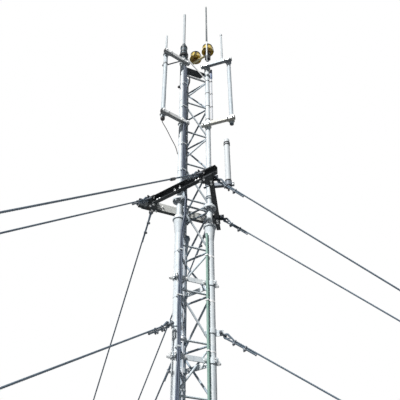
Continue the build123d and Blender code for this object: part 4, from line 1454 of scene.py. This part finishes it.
# Camera, light and floor
CAMERA_AZ = 66.745
CAMERA_PITCH = 38.852
CAMERA_ROLL = -0.241
CAMERA_LENS = 52.61
CAMERA_SPOT = Vector((-1.7919, -4.4047, 2.327))
SUN_AZ = 216.0
SUN_HEIGHT = 46.0
SUN_POWER = 4.9
SUN_SPREAD = 3.0
SUN_COLOUR = (1.0, 0.985, 0.96)
SUN_STAND = 12.0
SKY_POWER = 0.10
SKY_COLOUR = (0.70, 0.85, 1.0)
FLOOR_REACH = 60.0
FLOOR_DROP = 0.001
WHITE_FROM = 9.0
WHITE_TO = 26.0


def make_camera():
    pitch = radians(CAMERA_PITCH)
    roll = radians(CAMERA_ROLL)
    ahead = polar(cos(pitch), CAMERA_AZ, sin(pitch))
    right = polar(1, CAMERA_AZ - 90)
    top = right.cross(ahead)
    turned_right = right * cos(roll) + top * sin(roll)
    turned_top = top * cos(roll) - right * sin(roll)
    lens = bpy.data.cameras.new("camera")
    lens.lens = CAMERA_LENS
    lens.sensor_width = 36.0
    lens.clip_end = 200.0
    place = Matrix((turned_right, turned_top, -ahead)).transposed().to_4x4()
    place.translation = CAMERA_SPOT
    camera = add_to_scene("camera", lens)
    camera.matrix_world = place
    bpy.context.scene.camera = camera


def make_light():
    lamp = bpy.data.lights.new("key", "SUN")
    lamp.energy = SUN_POWER
    lamp.angle = radians(SUN_SPREAD)
    lamp.color = SUN_COLOUR
    towards = polar(cos(radians(SUN_HEIGHT)), SUN_AZ, sin(radians(SUN_HEIGHT)))
    add_to_scene("key", lamp).matrix_world = aim(UP * SUN_STAND, towards)

    world = bpy.data.worlds.new("studio")
    bpy.context.scene.world = world
    world.use_nodes = True
    n = Nodes(world.node_tree)
    n.tree.nodes.clear()
    fill = n.node("ShaderNodeBackground", None, {"Color": SKY_COLOUR, "Strength": SKY_POWER}).outputs[0]
    white = n.node("ShaderNodeBackground", None, {"Color": (1, 1, 1), "Strength": 1.0}).outputs[0]
    blend = n.node("ShaderNodeMixShader", None, {0: n.seen_rays(), 1: fill, 2: white}).outputs[0]
    n.node("ShaderNodeOutputWorld", None, {"Surface": blend})


def make_floor():
    """Pale floor, white far out, and darker in the light that it throws back up."""
    mesh = bpy.data.meshes.new("floor")
    corners = [(-1, -1), (1, -1), (1, 1), (-1, 1)]
    points = [(x * FLOOR_REACH, y * FLOOR_REACH, -FLOOR_DROP) for x, y in corners]
    mesh.from_pydata(points, [], [(0, 1, 2, 3)])
    f = Finish("floor")
    f.tree.nodes.remove(f.shader)
    seen = f.seen_rays()
    distance = f.node("ShaderNodeVectorMath", {"operation": "LENGTH"}, {0: f.places}).outputs["Value"]
    far = f.fade(distance, WHITE_FROM, WHITE_TO)
    colour = f.mix(seen, (0.12, 0.12, 0.12), (0.97, 0.97, 0.97))
    near = f.node("ShaderNodeBsdfDiffuse", None, {"Color": colour}).outputs[0]
    glow = f.node("ShaderNodeEmission", None, {"Color": (1, 1, 1), "Strength": 1.0}).outputs[0]
    blend = f.node("ShaderNodeMixShader", None, {0: far * seen, 1: near, 2: glow}).outputs[0]
    f.feed(f.tree.nodes["Material Output"].inputs["Surface"], blend)
    mesh.materials.append(f.material)
    add_to_scene("floor", mesh)


make_lattice()
make_flange_bolts()
make_leg_welds()
make_frame_fastenings()
make_clamp_fittings()
make_collar_fittings()
make_guys()
make_anchor_welds()
make_arm_fittings()
make_arm_brace()
make_tube_aerial_fittings()
make_whip_sleeves()
make_rod_base_bands()
for beacon in BEACON_ALONG:
    make_beacon(beacon)
make_beacon_box()
make_rear_feeder()
make_left_feeders()
make_leg_cables()
make_green_cable()
dress_nodes()
make_camera()
make_light()
make_floor()
bpy.context.scene.view_settings.view_transform = "Standard"
